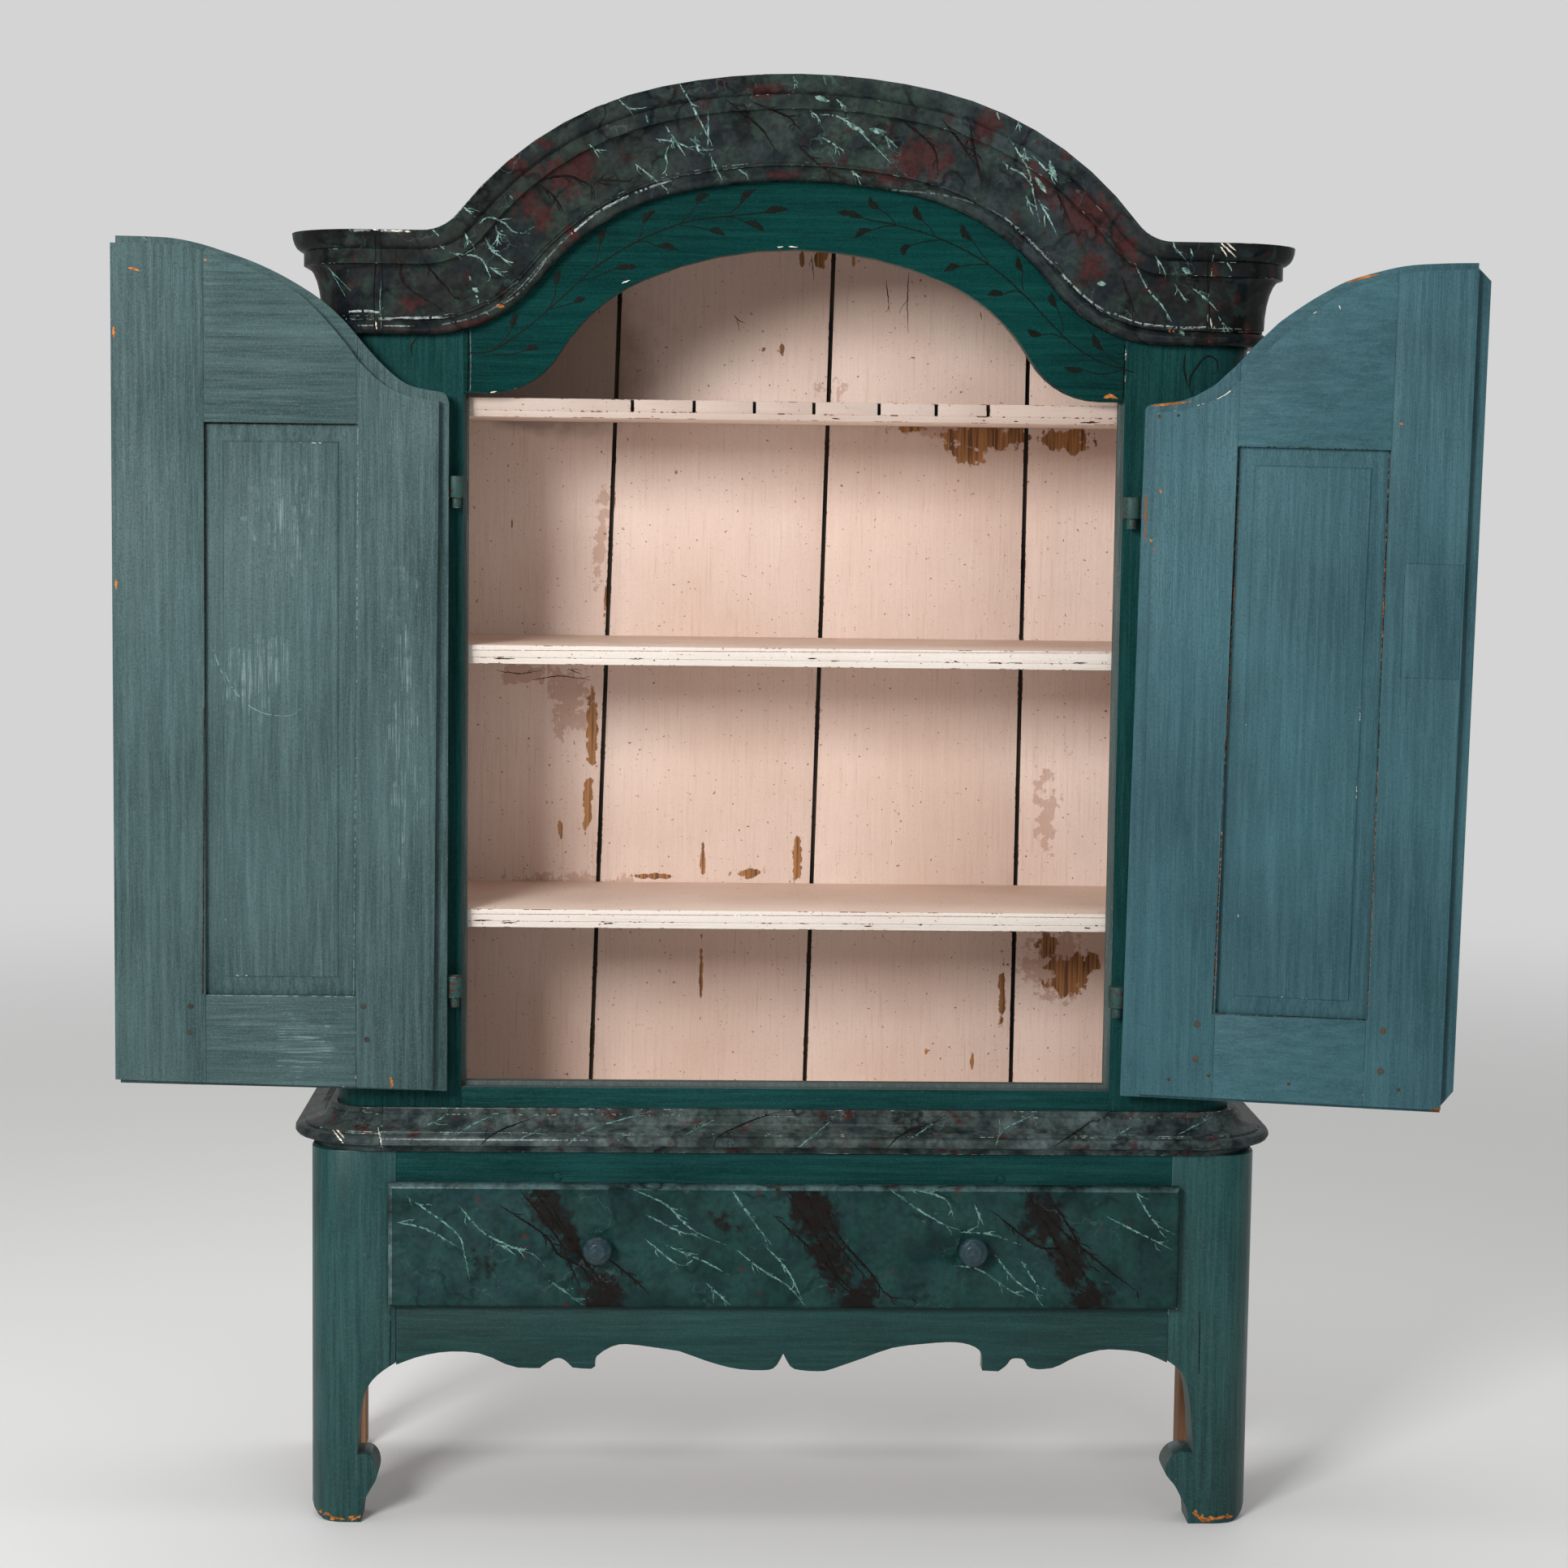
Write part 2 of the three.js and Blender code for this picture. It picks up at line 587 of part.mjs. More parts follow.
// The stiles of the face frame: a strip along the opening and a rounded corner at the side.
function buildStiles() {
  const blockInner = caseHalfWidth - cornerBlockWidth;
  const plan = [
    [openingHalfWidth, 0],
    ...caseCorner(),
    [caseHalfWidth, cornerBlockDepth],
    [blockInner, cornerBlockDepth],
    [blockInner, frameThickness],
    [openingHalfWidth - stripLip, frameThickness],
    [openingHalfWidth - stripLip, stripDepth],
    [openingHalfWidth, stripDepth],
  ];
  const blank = post(plan, [caseBottom, skyline]).intersect(caseMask);
  for (const side of ["left", "right"]) {
    let stile = blank;
    const { eyes, lean } = doorSizes[side];
    for (const rise of Object.values(eyes)) stile = stile.subtract(spike(rise, lean, seatGap));
    place(cupboard, `${side}_stile`, stile, greenPaint(), side === "left");
  }
}

// What fits between the stiles from one level to another, stepped round their strips.
function betweenStiles(levels) {
  const wide = openingHalfWidth - seatGap;
  const narrow = wide - stripLip;
  const step = stripDepth - seatGap;
  const half = [[wide, 0], [wide, step], [narrow, step], [narrow, frameThickness]];
  const plan = [...half, ...half.map(([x, y]) => [-x, y]).reverse()];
  return post(plan, levels);
}

// The sill rail with a strip behind its front edge, and the arched frieze.
function buildRails() {
  const stripTop = sillTop + stripLip;
  const step = block(
    [-caseHalfWidth, caseHalfWidth],
    [-cutOverrun, stripDepth],
    [sillTop, stripTop + cutOverrun],
  );
  place(cupboard, "sill_rail", betweenStiles([caseBottom, stripTop]).subtract(step), greenPaint());
  const through = [-cutOverrun, frameThickness + cutOverrun];
  const frieze = betweenStiles([doorBottom, skyline])
    .intersect(caseMask)
    .subtract(underArch(openingArchSizes, 0, 0, through));
  place(cupboard, "arched_frieze", frieze, greenPaint());
}

// The sides of the case, with a housing for each shelf and a rebate for the back boards.
function buildCaseSides(levels) {
  const height = [caseBottom, skyline];
  const depth = [cornerBlockDepth + seatGap, caseDepth];
  let side = block([sideInner, caseHalfWidth], depth, height).intersect(caseMask);
  const rebate = [sideInner - cutOverrun, caseHalfWidth - backLapWidth];
  side = side.subtract(block(rebate, [backFront, caseDepth + cutOverrun], [0, skyline]));
  for (const [bottom, top] of levels) {
    const housing = [bottom - seatGap, top + seatGap];
    side = side.subtract(block([sideInner - cutOverrun, sideInner + housingDepth], [0, backFront], housing));
  }
  placePair(cupboard, "case_side", side, greenPaint);
}

// The plan of a board that fills the case from side to side and steps round the corner blocks.
function boardPlan() {
  const end = sideInner + housingDepth - seatGap;
  const waist = caseHalfWidth - cornerBlockWidth - seatGap;
  const behindBlock = cornerBlockDepth + seatGap;
  const faceBack = frameThickness + seatGap;
  const half = [[waist, faceBack], [waist, behindBlock], [end, behindBlock], [end, backFront - seatGap]];
  return [...half, ...half.map(([x, y]) => [-x, y]).reverse()];
}

// The floor of the case and its three shelves. The top shelf is notched along its front for spoons.
function buildShelves() {
  const levels = { case_floor: [caseBottom, caseBottom + floorThickness] };
  for (const [name, height] of Object.entries(shelfHeights)) {
    levels[name] = [caseBottom + height - shelfThickness, caseBottom + height];
  }
  buildCaseSides(Object.values(levels));
  const face = frameThickness + seatGap;
  const width = [-caseHalfWidth, caseHalfWidth];
  for (const [name, [bottom, top]] of Object.entries(levels)) {
    let board = post(boardPlan(), [bottom, top]);
    if (name !== "case_floor") {
      const bead = [bottom - cutOverrun, bottom + shelfBeadHeight];
      board = board.subtract(block(width, [0, face + shelfBeadSetback], bead));
    }
    if (name === "top_shelf") {
      for (const x of spoonSlotPlaces) {
        const slot = [x - spoonSlotWidth / 2, x + spoonSlotWidth / 2];
        const depth = [0, face + spoonSlotDepth];
        board = board.subtract(block(slot, depth, [bottom + shelfBeadHeight, top + cutOverrun]));
      }
    }
    place(cupboard, name, board, pinkPaint());
  }
}

// Four upright back boards, lapped behind the open joints between them, and the vaulted roof.
function buildBackAndRoof() {
  const edge = caseHalfWidth - backLapWidth - seatGap;
  const bottoms = [-edge, ...backSplitBottoms, edge];
  const tops = [-edge, ...backSplitTops, edge];
  const middle = (backFront + caseDepth) / 2;
  const count = bottoms.length - 1;
  const slab = (i, fromShift, toShift, depth) => {
    const outline = [
      [bottoms[i] + fromShift, caseBottom],
      [bottoms[i + 1] + toShift, caseBottom],
      [tops[i + 1] + toShift, skyline],
      [tops[i] + fromShift, skyline],
    ];
    return frontBoard(outline, depth);
  };
  for (let i = 0; i < count; i++) {
    const isFirst = i === 0;
    const isLast = i === count - 1;
    const from = isFirst ? 0 : backSplitWidth / 2;
    const to = isLast ? 0 : -backSplitWidth / 2;
    const rearFrom = isFirst ? 0 : backBoardLap + seatGap;
    let board = slab(i, from, to, [backFront, middle]).add(slab(i, rearFrom, to, [middle, caseDepth]));
    if (!isLast) board = board.add(slab(i, rearFrom, backBoardLap, [middle + seatGap, caseDepth]));
    place(cupboard, `back_board_${i + 1}`, board.intersect(caseMask), pinkPaint());
  }
  const depth = [frameThickness + seatGap, caseDepth];
  const half = [...caseCorner(), [caseHalfWidth, caseDepth]];
  const plan = [...half, ...half.map(([x, y]) => [-x, y]).reverse()];
  const vault = underArch(corniceArchSizes, roofRise + roofThickness, 0, depth)
    .intersect(post(plan, [0, skyline]))
    .subtract(underArch(corniceArchSizes, roofRise, -cutOverrun, [0, caseDepth + cutOverrun]));
  place(cupboard, "roof_vault", vault, bareWood());
}

// The cornice section as projection and height, starting at its back lower corner.
function corniceSection() {
  const bead = corniceBead;
  const beadHalf = bead.height / 2;
  const cove = corniceCavetto;
  const ovolo = corniceHeight - corniceFascia.top;
  return [
    [seatGap, 0],
    ...arc([bead.root, beadHalf], [bead.proud - bead.root, beadHalf], -Math.PI / 2, Math.PI / 2, 6),
    [corniceFillet.proud, bead.height],
    [corniceFillet.proud, corniceFillet.top],
    ...arc(
      [cove.head, corniceFillet.top],
      [cove.foot - cove.head, cove.top - corniceFillet.top],
      0,
      Math.PI / 2,
      6,
    ),
    [corniceFascia.proud, cove.top],
    ...arc(
      [corniceFascia.proud, corniceHeight],
      [corniceProud - corniceFascia.proud, -ovolo],
      Math.PI / 2,
      0,
      5,
    ),
    [seatGap, corniceHeight],
  ];
}

// The waist section, starting at its back lower corner.
function waistSection() {
  const top = waistHeight - waistTop.flat;
  const noseHalf = (waistNose.top - waistNose.bottom) / 2;
  return [
    [seatGap, 0],
    [waistFoot.proud, 0],
    ...arc(
      [waistNose.root, 0],
      [waistFoot.proud - waistNose.root, waistNose.bottom],
      0,
      Math.PI / 2,
      3,
    ).slice(1),
    ...arc(
      [waistNose.root, waistNose.bottom + noseHalf],
      [waistProud - waistNose.root, noseHalf],
      -Math.PI / 2,
      Math.PI / 2,
      5,
    ).slice(1),
    [waistCavetto.foot, waistNose.top],
    ...arc(
      [waistCavetto.foot, top],
      [waistCavetto.head - waistCavetto.foot, waistCavetto.bottom - top],
      Math.PI / 2,
      0,
      4,
    ),
    [waistTop.proud, top],
    [waistTop.proud, waistHeight],
    [seatGap, waistHeight],
  ];
}

// A moulding that starts on the front face, turns the rounded corner and runs to the back.
function mouldingReturn(section, level) {
  const at = (x, y, outX, outY) =>
    section.map(([proud, height]) => new THREE.Vector3(x + outX * proud, y + outY * proud, level + height));
  const turn = arc([0, 0], [1, 1], -Math.PI / 2, 0, 8);
  const rings = [
    at(cornerStart - mouldingJointInset + seatGap, 0, 0, -1),
    ...turn.map(([x, y]) =>
      at(cornerStart + x * caseCornerRadius, caseCornerRadius + y * caseCornerRadius, x, y),
    ),
    at(caseHalfWidth, caseDepth, 1, 0),
  ];
  return lofted(section, rings);
}

// The cornice that follows the arch and the waist moulding, each in three lengths.
function buildMouldings() {
  const joint = cornerStart - mouldingJointInset;
  const cornice = corniceSection();
  const rings = archStations(corniceArchSizes, joint).map(({ place: p, normal }) =>
    cornice.map(([proud, height]) => {
      const over = normal.clone().multiplyScalar(height).add(p);
      return new THREE.Vector3(over.x, -proud, over.y);
    }),
  );
  place(cupboard, "cornice_front", lofted(cornice, rings), marblePaint());
  const corniceLevel = caseBottom + corniceArchSizes.levelHeight;
  placePair(cupboard, "cornice_return", mouldingReturn(cornice, corniceLevel), marblePaint);
  const waist = waistSection();
  const waistRings = [-joint, joint].map((x) =>
    waist.map(([proud, height]) => new THREE.Vector3(x, -proud, caseBottom + height)),
  );
  place(cupboard, "waist_front", lofted(waist, waistRings), marblePaint());
  placePair(cupboard, "waist_return", mouldingReturn(waist, caseBottom), marblePaint);
}

// A solid drawn on the upright hinge line, leaned with that line about its middle.
const leaned = (solid, lean, y) =>
  solid.translate(-pivotX, -y, -leanLevel).rotate(0, lean / degree, 0).translate(pivotX, y, leanLevel);

// The spike of a pintle at a height above the door's bottom, or the hole for it where a gap is given.
function spike(rise, lean, gap) {
  const middle = doorBottom + rise - seatGap - collarHeight / 2;
  const x = pivotX + Math.tan(lean) * (middle - leanLevel);
  const half = spikeWidth / 2 + gap;
  return block([x - half, x + half], [-hingeStandOff, spikeDepth + gap], [middle - half, middle + half]);
}

// Pintles on the stiles: a pin through the eye, a collar that carries it and the spike.
function buildPintles() {
  for (const [side, { eyes, lean }] of Object.entries(doorSizes)) {
    for (const [level, rise] of Object.entries(eyes)) {
      const seat = doorBottom + rise - seatGap;
      const pin = uprightBar(pinRadius, [seat - collarHeight, seat + eyeHeight], pivotX, -hingeStandOff, 16);
      const collar = uprightBar(collarRadius, [seat - collarHeight, seat], pivotX, -hingeStandOff, 16);
      const pintle = leaned(pin.add(collar), lean, -hingeStandOff).add(spike(rise, lean, 0));
      place(cupboard, `${side}_${level}_pintle`, pintle, paintedIron(), side === "left");
    }
  }
}

// The rolled eye of a hinge and its strap on the front of the door.
function hingeEye(rise, lean) {
  const height = [doorBottom + rise, doorBottom + rise + eyeHeight];
  const cut = [height[0] - cutOverrun, height[1] + cutOverrun];
  const strap = [-seatGap - strapThickness, -seatGap];
  return leaned(uprightBar(eyeRadius, height, pivotX, pivotDepth, 24), lean, pivotDepth)
    .add(block([pivotX - strapLength, pivotX], strap, height))
    .subtract(leaned(uprightBar(pinRadius + pinGap, cut, pivotX, pivotDepth, 16), lean, pivotDepth));
}

// The notch in a door's edge for a hinge eye.
function eyeNotch(rise, lean) {
  const bottom = doorBottom + rise;
  const height = [bottom - eyeNotchGap, bottom + eyeHeight + eyeNotchGap];
  return leaned(uprightBar(eyeRadius + eyeNotchGap, height, pivotX, pivotDepth, 24), lean, pivotDepth);
}

// One layer of a door: what lies under its top curve, from its meeting edge to its hinge edge.
function doorLayer({ topShares, footInset, rise, slant }, meetingEdge, depth) {
  const curve = curveOfShares(topShares, openingHalfWidth, doorHeight, 3 * topShares.length);
  const bottom = doorBottom + rise;
  const outline = [
    [curve[0][0], bottom + slant],
    ...curve.map(([x, z]) => [x, doorBottom + z]),
    [openingHalfWidth - footInset, bottom],
  ];
  return frontBoard(outline, depth).intersect(block([meetingEdge, skyline], depth, [0, skyline]));
}

// A door before it is divided: its front layer and its rear layer, which stays clear of the opening's arch.
function doorBlank({ lip, rear }, frontEdge, rearEdge) {
  const rearDepth = [layerThickness, doorThickness];
  const rearLayer = doorLayer(rear, rearEdge, rearDepth);
  return doorLayer(lip, frontEdge, [0, layerThickness]).add(
    rearLayer.intersect(underArch(openingArchSizes, -doorGap, 0, rearDepth)),
  );
}

// The corners cut from the ends of the right door's lap strip.
function lapChamfers() {
  const top = doorBottom + doorHeight;
  const outer = rightRearEdge - lapStrip;
  const past = outer - cutOverrun;
  const depth = [-cutOverrun, layerThickness];
  const above = [
    [rightRearEdge, top - lapTop.drop],
    [outer, top - lapTop.chamfer],
    [past, top - lapTop.chamfer],
    [past, top + cutOverrun],
    [rightRearEdge, top + cutOverrun],
  ];
  const below = [
    [rightRearEdge, doorBottom + lapBottom.rise],
    [outer, doorBottom + lapBottom.chamfer],
    [past, doorBottom + lapBottom.chamfer],
    [past, doorBottom - cutOverrun],
    [rightRearEdge, doorBottom - cutOverrun],
  ];
  return frontBoard(above, depth).add(frontBoard(below, depth));
}

// A fielded panel, bevelled on both faces, with a tongue all round.
function doorPanel({ inner, outer, bottom, top }) {
  const half = tongueThickness / 2;
  const steps = [
    [fieldInset + fieldStep, -half - fieldSlope - fieldStep],
    [fieldInset, -half - fieldSlope],
    [0, -half],
    [-tongueDepth, -half],
    [-tongueDepth, half],
    [0, half],
    [fieldInset, half + fieldSlope],
    [fieldInset + fieldStep, half + fieldSlope + fieldStep],
  ];
  const rectangle = (inset) => [
    [inner + inset, bottom + inset],
    [outer - inset, bottom + inset],
    [outer - inset, top - inset],
    [inner + inset, top - inset],
  ];
  const rings = steps.map(([inset, y]) =>
    rectangle(inset).map(([x, z]) => new THREE.Vector3(x, layerThickness + y, z)),
  );
  return lofted(rectangle(0), rings);
}

// The tenons of a door's upper and lower rail, or their mortises where a gap is given.
function doorTenons({ inner, outer, bottom, top }, gap) {
  const depth = [layerThickness - tenonThickness / 2 - gap, layerThickness + tenonThickness / 2 + gap];
  const upper = top + upperTenon.rise;
  const lower = bottom - lowerTenon.drop;
  const levels = [[upper, upper + upperTenon.height], [lower - lowerTenon.height, lower]];
  const ends = [
    [inner - tenonLength, inner + tongueDepth + seatGap],
    [outer - tongueDepth - seatGap, outer + tenonLength],
  ];
  return levels.map(([from, to]) =>
    ends
      .map(([x0, x1]) => block([x0 - gap, x1 + gap], depth, [from - gap, to + gap]))
      .reduce((both, one) => both.add(one)),
  );
}

// The repair let into the inner face of the right door's meeting stile, or its recess.
function repairPatch(gap) {
  const x = rightRearEdge + patchEdgeInset;
  const z = doorBottom + patchRise;
  return block(
    [x - gap, x + patchWidth + gap],
    [doorThickness - patchThickness - gap, doorThickness + gap],
    [z - gap, z + patchHeight + gap],
  );
}

// One door, drawn closed on the right side: stiles, rails, panel and hinge eyes.
function buildDoor(side, blank, group) {
  const { panel, eyes, lean } = doorSizes[side];
  const mirror = side === "left";
  const groove = tongueDepth + seatGap;
  const half = tongueThickness / 2 + seatGap;
  const grooves = block(
    [panel.inner - groove, panel.outer + groove],
    [layerThickness - half, layerThickness + half],
    [panel.bottom - groove, panel.top + groove],
  );
  const all = [-skyline, skyline];
  const [upperTenons, lowerTenons] = doorTenons(panel, 0);
  const [upperMortises, lowerMortises] = doorTenons(panel, seatGap);
  const cutStile = (width) =>
    blank.intersect(block(width, all, all)).subtract(grooves).subtract(upperMortises).subtract(lowerMortises);
  let meetingStile = cutStile([-skyline, panel.inner]);
  if (side === "right") {
    meetingStile = meetingStile.subtract(repairPatch(seatGap));
    place(group, "right_door_repair_patch", repairPatch(0), doorPaint());
  }
  const railWidth = [panel.inner + seatGap, panel.outer - seatGap];
  const cutRail = (height, tenons) =>
    blank.intersect(block(railWidth, all, height)).subtract(grooves).add(tenons);
  const notches = eyeNotch(eyes.upper, lean).add(eyeNotch(eyes.lower, lean));
  const pieces = {
    hinge_stile: cutStile([panel.outer, skyline]).subtract(notches),
    meeting_stile: meetingStile,
    top_rail: cutRail([panel.top, skyline], upperTenons),
    bottom_rail: cutRail([0, panel.bottom], lowerTenons),
    panel: doorPanel(panel),
    upper_hinge_eye: hingeEye(eyes.upper, lean),
    lower_hinge_eye: hingeEye(eyes.lower, lean),
  };
  for (const [name, solid] of Object.entries(pieces)) {
    const material = name.endsWith("eye") ? paintedIron() : doorPaint();
    place(group, `${side}_door_${name}`, solid, material, mirror);
  }
}

// Hangs a door that was drawn closed on its pintles and swings it open about its hinge line.
function swing(door, side) {
  const { angle, lean } = doorSizes[side];
  const hand = side === "left" ? -1 : 1;
  const hingeLine = new THREE.Vector3(Math.sin(lean), 0, Math.cos(lean));
  const drawn = new THREE.Vector3(hand * pivotX, pivotDepth, leanLevel);
  door.quaternion.setFromAxisAngle(hingeLine, hand * angle);
  door.position.set(hand * pivotX, -hingeStandOff, leanLevel).sub(drawn.applyQuaternion(door.quaternion));
}

// Both doors. The right one closes last: its lap strip covers the rear layer's edge of the left one.
function buildDoors() {
  const lapEdge = rightRearEdge - lapStrip;
  const leftFrontEdge = lapGap - lapEdge;
  const lapRoom = block([-cutOverrun, leftFrontEdge], [0, layerThickness + seatGap], [0, skyline]);
  const rightBlank = doorBlank(doorSizes.right, lapEdge, rightRearEdge).subtract(lapChamfers());
  const leftBlank = doorBlank(doorSizes.left, leftFrontEdge, meetingGap - rightRearEdge).subtract(lapRoom);
  buildDoor("left", leftBlank, leftDoor);
  buildDoor("right", rightBlank, rightDoor);
  swing(leftDoor, "left");
  swing(rightDoor, "right");
}

// A turned knob with a tenon through the drawer front.
function knob(x, z, face) {
  const centre = face - knobLength + knobDome;
  const ball = arc([0, centre], [knobRadius, knobDome], -Math.PI / 2, knobBallEnd, 8).map(([a, b]) => [
    Math.max(a, 0),
    b,
  ]);
  const profile = [
    ...ball,
    [knobNeckRadius, face - seatGap],
    [knobTenonRadius, face - seatGap],
    [knobTenonRadius, face + knobTenonLength],
    [0, face + knobTenonLength],
  ];
  const lathe = new THREE.LatheGeometry(profile.map(([a, b]) => new THREE.Vector2(a, b)), 20);
  return toSolid(lathe.translate(x, 0, z));
}

// The drawer: a lipped front over a rebated inner face, two sides, a back, a grooved bottom and the knobs.
function buildDrawer() {
  const bottom = apronTop - drawerLip;
  const top = bottom + drawerFrontHeight;
  const boxBottom = apronTop + seatGap;
  const boxTop = baseHeight - railHeight - drawerTopGap;
  const boxHalf = legInner - drawerSideGap;
  const innerHalf = boxHalf - drawerBoardThickness - seatGap;
  const back = backFront - drawerRearGap;
  const lipBack = -baseProud - seatGap;
  const lipFront = lipBack - drawerFrontThickness;
  const outline = (inset) => [
    [inset - drawerFrontHalfWidth, bottom + inset],
    [drawerFrontHalfWidth - inset, bottom + inset],
    [drawerFrontHalfWidth - inset, top - inset],
    [inset - drawerFrontHalfWidth, top - inset],
  ];
  const edge = arc([drawerFrontBevel, lipFront + drawerFrontBevel], [drawerFrontBevel, drawerFrontBevel],
    -Math.PI / 2, -Math.PI, 3);
  const rings = [...edge, [0, lipBack]].map(([inset, y]) =>
    outline(inset).map(([x, z]) => new THREE.Vector3(x, y, z)),
  );
  const innerBack = lipBack + drawerInnerThickness;
  const floorLevel = [boxBottom + drawerBottomRise, boxBottom + drawerBottomRise + drawerBottomThickness];
  const floorEnd = innerHalf + drawerGroove;
  const groove = block(
    [-floorEnd - seatGap, floorEnd + seatGap],
    [innerBack - drawerGroove - seatGap, back + cutOverrun],
    [floorLevel[0] - seatGap, floorLevel[1] + seatGap],
  );
  let face = lofted(outline(0), rings)
    .add(block([-innerHalf, innerHalf], [lipBack - seatGap, innerBack], [boxBottom, boxTop]))
    .subtract(groove);
  const middle = (bottom + top) / 2;
  for (const x of [-knobPlace, knobPlace]) {
    const hole = [lipFront - cutOverrun, innerBack + cutOverrun];
    face = face.subtract(levelBar(knobTenonRadius + seatGap, hole, x, middle, 20));
  }
  place(drawer, "drawer_front", face, drawerPaint());
  const side = block([innerHalf + seatGap, boxHalf], [lipBack + seatGap, back], [boxBottom, boxTop]);
  placePair(drawer, "drawer_side", side.subtract(groove), bareWood);
  const rear = block(
    [-innerHalf, innerHalf],
    [back - drawerBoardThickness, back],
    [floorLevel[1] + seatGap, boxTop],
  );
  place(drawer, "drawer_back", rear, bareWood());
  const floor = block([-floorEnd, floorEnd], [innerBack - drawerGroove, back], floorLevel);
  place(drawer, "drawer_bottom", floor, bareWood());
  placePair(drawer, "drawer_knob", knob(knobPlace, middle, lipFront), drawerPaint);
}

buildFrontLegs();
buildBaseSides();
buildBaseFront();
buildRunners();
buildStiles();
buildRails();
buildShelves();
buildBackAndRoof();
buildMouldings();
buildPintles();
buildDoors();
buildDrawer();

// The origin is the middle of the cupboard's box on the floor, with the doors as they stand.
cupboard.updateMatrixWorld(true);
const box = new THREE.Box3().setFromObject(cupboard, true);
cupboard.position.set(-(box.min.x + box.max.x) / 2, -(box.min.y + box.max.y) / 2, -box.min.z);

export default cupboard;
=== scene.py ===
"""Finishes and fine detail for a painted cupboard with an arched top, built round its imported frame.

The wood is softwood under old oil paint: plain green outside, marbled on the mouldings and the drawer,
dull pink inside. Lengths are metres, and millimetres where a name says so. A pixel is a place in the
photograph's own frame, from its upper left corner.
"""

import json
import logging
import math
import random
from dataclasses import dataclass, field, replace
from enum import Enum
from typing import Any, Sequence

import bmesh
import bpy
from mathutils import Matrix, Vector
from mathutils.bvhtree import BVHTree

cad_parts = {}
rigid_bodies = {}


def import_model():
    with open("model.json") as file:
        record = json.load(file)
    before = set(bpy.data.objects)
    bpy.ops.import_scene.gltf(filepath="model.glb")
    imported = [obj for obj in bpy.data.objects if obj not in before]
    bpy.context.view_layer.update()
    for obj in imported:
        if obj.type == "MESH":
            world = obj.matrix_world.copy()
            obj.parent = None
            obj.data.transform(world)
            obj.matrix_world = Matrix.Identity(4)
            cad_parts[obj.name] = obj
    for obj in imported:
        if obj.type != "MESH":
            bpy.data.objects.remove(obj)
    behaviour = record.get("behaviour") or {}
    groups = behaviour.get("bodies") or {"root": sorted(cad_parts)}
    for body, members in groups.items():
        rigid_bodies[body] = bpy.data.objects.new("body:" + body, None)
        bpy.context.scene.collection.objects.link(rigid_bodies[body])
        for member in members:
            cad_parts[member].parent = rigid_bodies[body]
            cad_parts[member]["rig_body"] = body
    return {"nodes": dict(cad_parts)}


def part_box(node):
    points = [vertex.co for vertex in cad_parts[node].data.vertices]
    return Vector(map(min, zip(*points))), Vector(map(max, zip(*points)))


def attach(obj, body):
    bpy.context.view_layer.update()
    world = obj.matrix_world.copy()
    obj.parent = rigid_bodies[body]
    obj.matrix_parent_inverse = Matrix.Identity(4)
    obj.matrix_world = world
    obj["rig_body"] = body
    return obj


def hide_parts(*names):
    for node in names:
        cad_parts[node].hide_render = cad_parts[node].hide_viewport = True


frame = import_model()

logging.basicConfig(level=logging.INFO, format="%(message)s")
log = logging.getLogger("cupboard")

MM = 0.001
IMAGE_SIDE = 1932
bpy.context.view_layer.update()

LEFT_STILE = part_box("left_stile")
RIGHT_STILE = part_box("right_stile")
CENTRE_X = (LEFT_STILE[0].x + RIGHT_STILE[1].x) / 2
FACE_Y = RIGHT_STILE[0].y
BACK_FACE_MM = (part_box("back_board_2")[0].y - FACE_Y) / MM
OPENING_MM = (LEFT_STILE[1].x - CENTRE_X) / MM

MATH = "ShaderNodeMath"
RANGE = "ShaderNodeMapRange"
MIX = "ShaderNodeMix"
PLACE = "ShaderNodeTexCoord"
MAPPING = "ShaderNodeMapping"

Pixel = tuple[float, float]
Path = tuple[Pixel, ...]
Colour = tuple[float, float, float, float]
Hit = tuple[Vector, Vector]
Tree = bpy.types.NodeTree
Socket = bpy.types.NodeSocket


def at(x: float, y: float, z: float) -> Vector:
    """A place in metres from millimetres right of the middle, behind the case's face and above the floor."""
    return Vector((CENTRE_X + x * MM, FACE_Y + y * MM, z * MM))


def linear(colour: str) -> Colour:
    """Turns an sRGB hex colour to linear.

    Args:
        colour: Six hex digits after a hash sign.

    Returns:
        Red, green, blue and an alpha of one.
    """
    parts = [int(colour[i : i + 2], 16) / 255 for i in (1, 3, 5)]
    spread = [p / 12.92 if p <= 0.04045 else ((p + 0.055) / 1.055) ** 2.4 for p in parts]
    return (spread[0], spread[1], spread[2], 1.0)


def fill(node: bpy.types.Node, values: dict[Any, Any]) -> None:
    """Fills a node's inputs.

    Args:
        node: The node.
        values: What goes into each input, a socket or a value, by the input's name or number.
    """
    for key, value in values.items():
        if isinstance(value, Socket):
            node.id_data.links.new(value, node.inputs[key])
        else:
            node.inputs[key].default_value = value


def put(
    tree: Tree, kind: str, values: dict[Any, Any] | None = None, out: int | str = 0, **settings: Any
) -> Socket:
    """Adds a node.

    Args:
        tree: The tree that gets the node.
        kind: The node's type name.
        values: What goes into each input, a socket or a value, by the input's name or number.
        out: The output that is wanted, by its name or number.
        settings: The node's own properties.

    Returns:
        The output.
    """
    node = tree.nodes.new(kind)
    for name, value in settings.items():
        setattr(node, name, value)
    fill(node, values or {})
    return node.outputs[out]


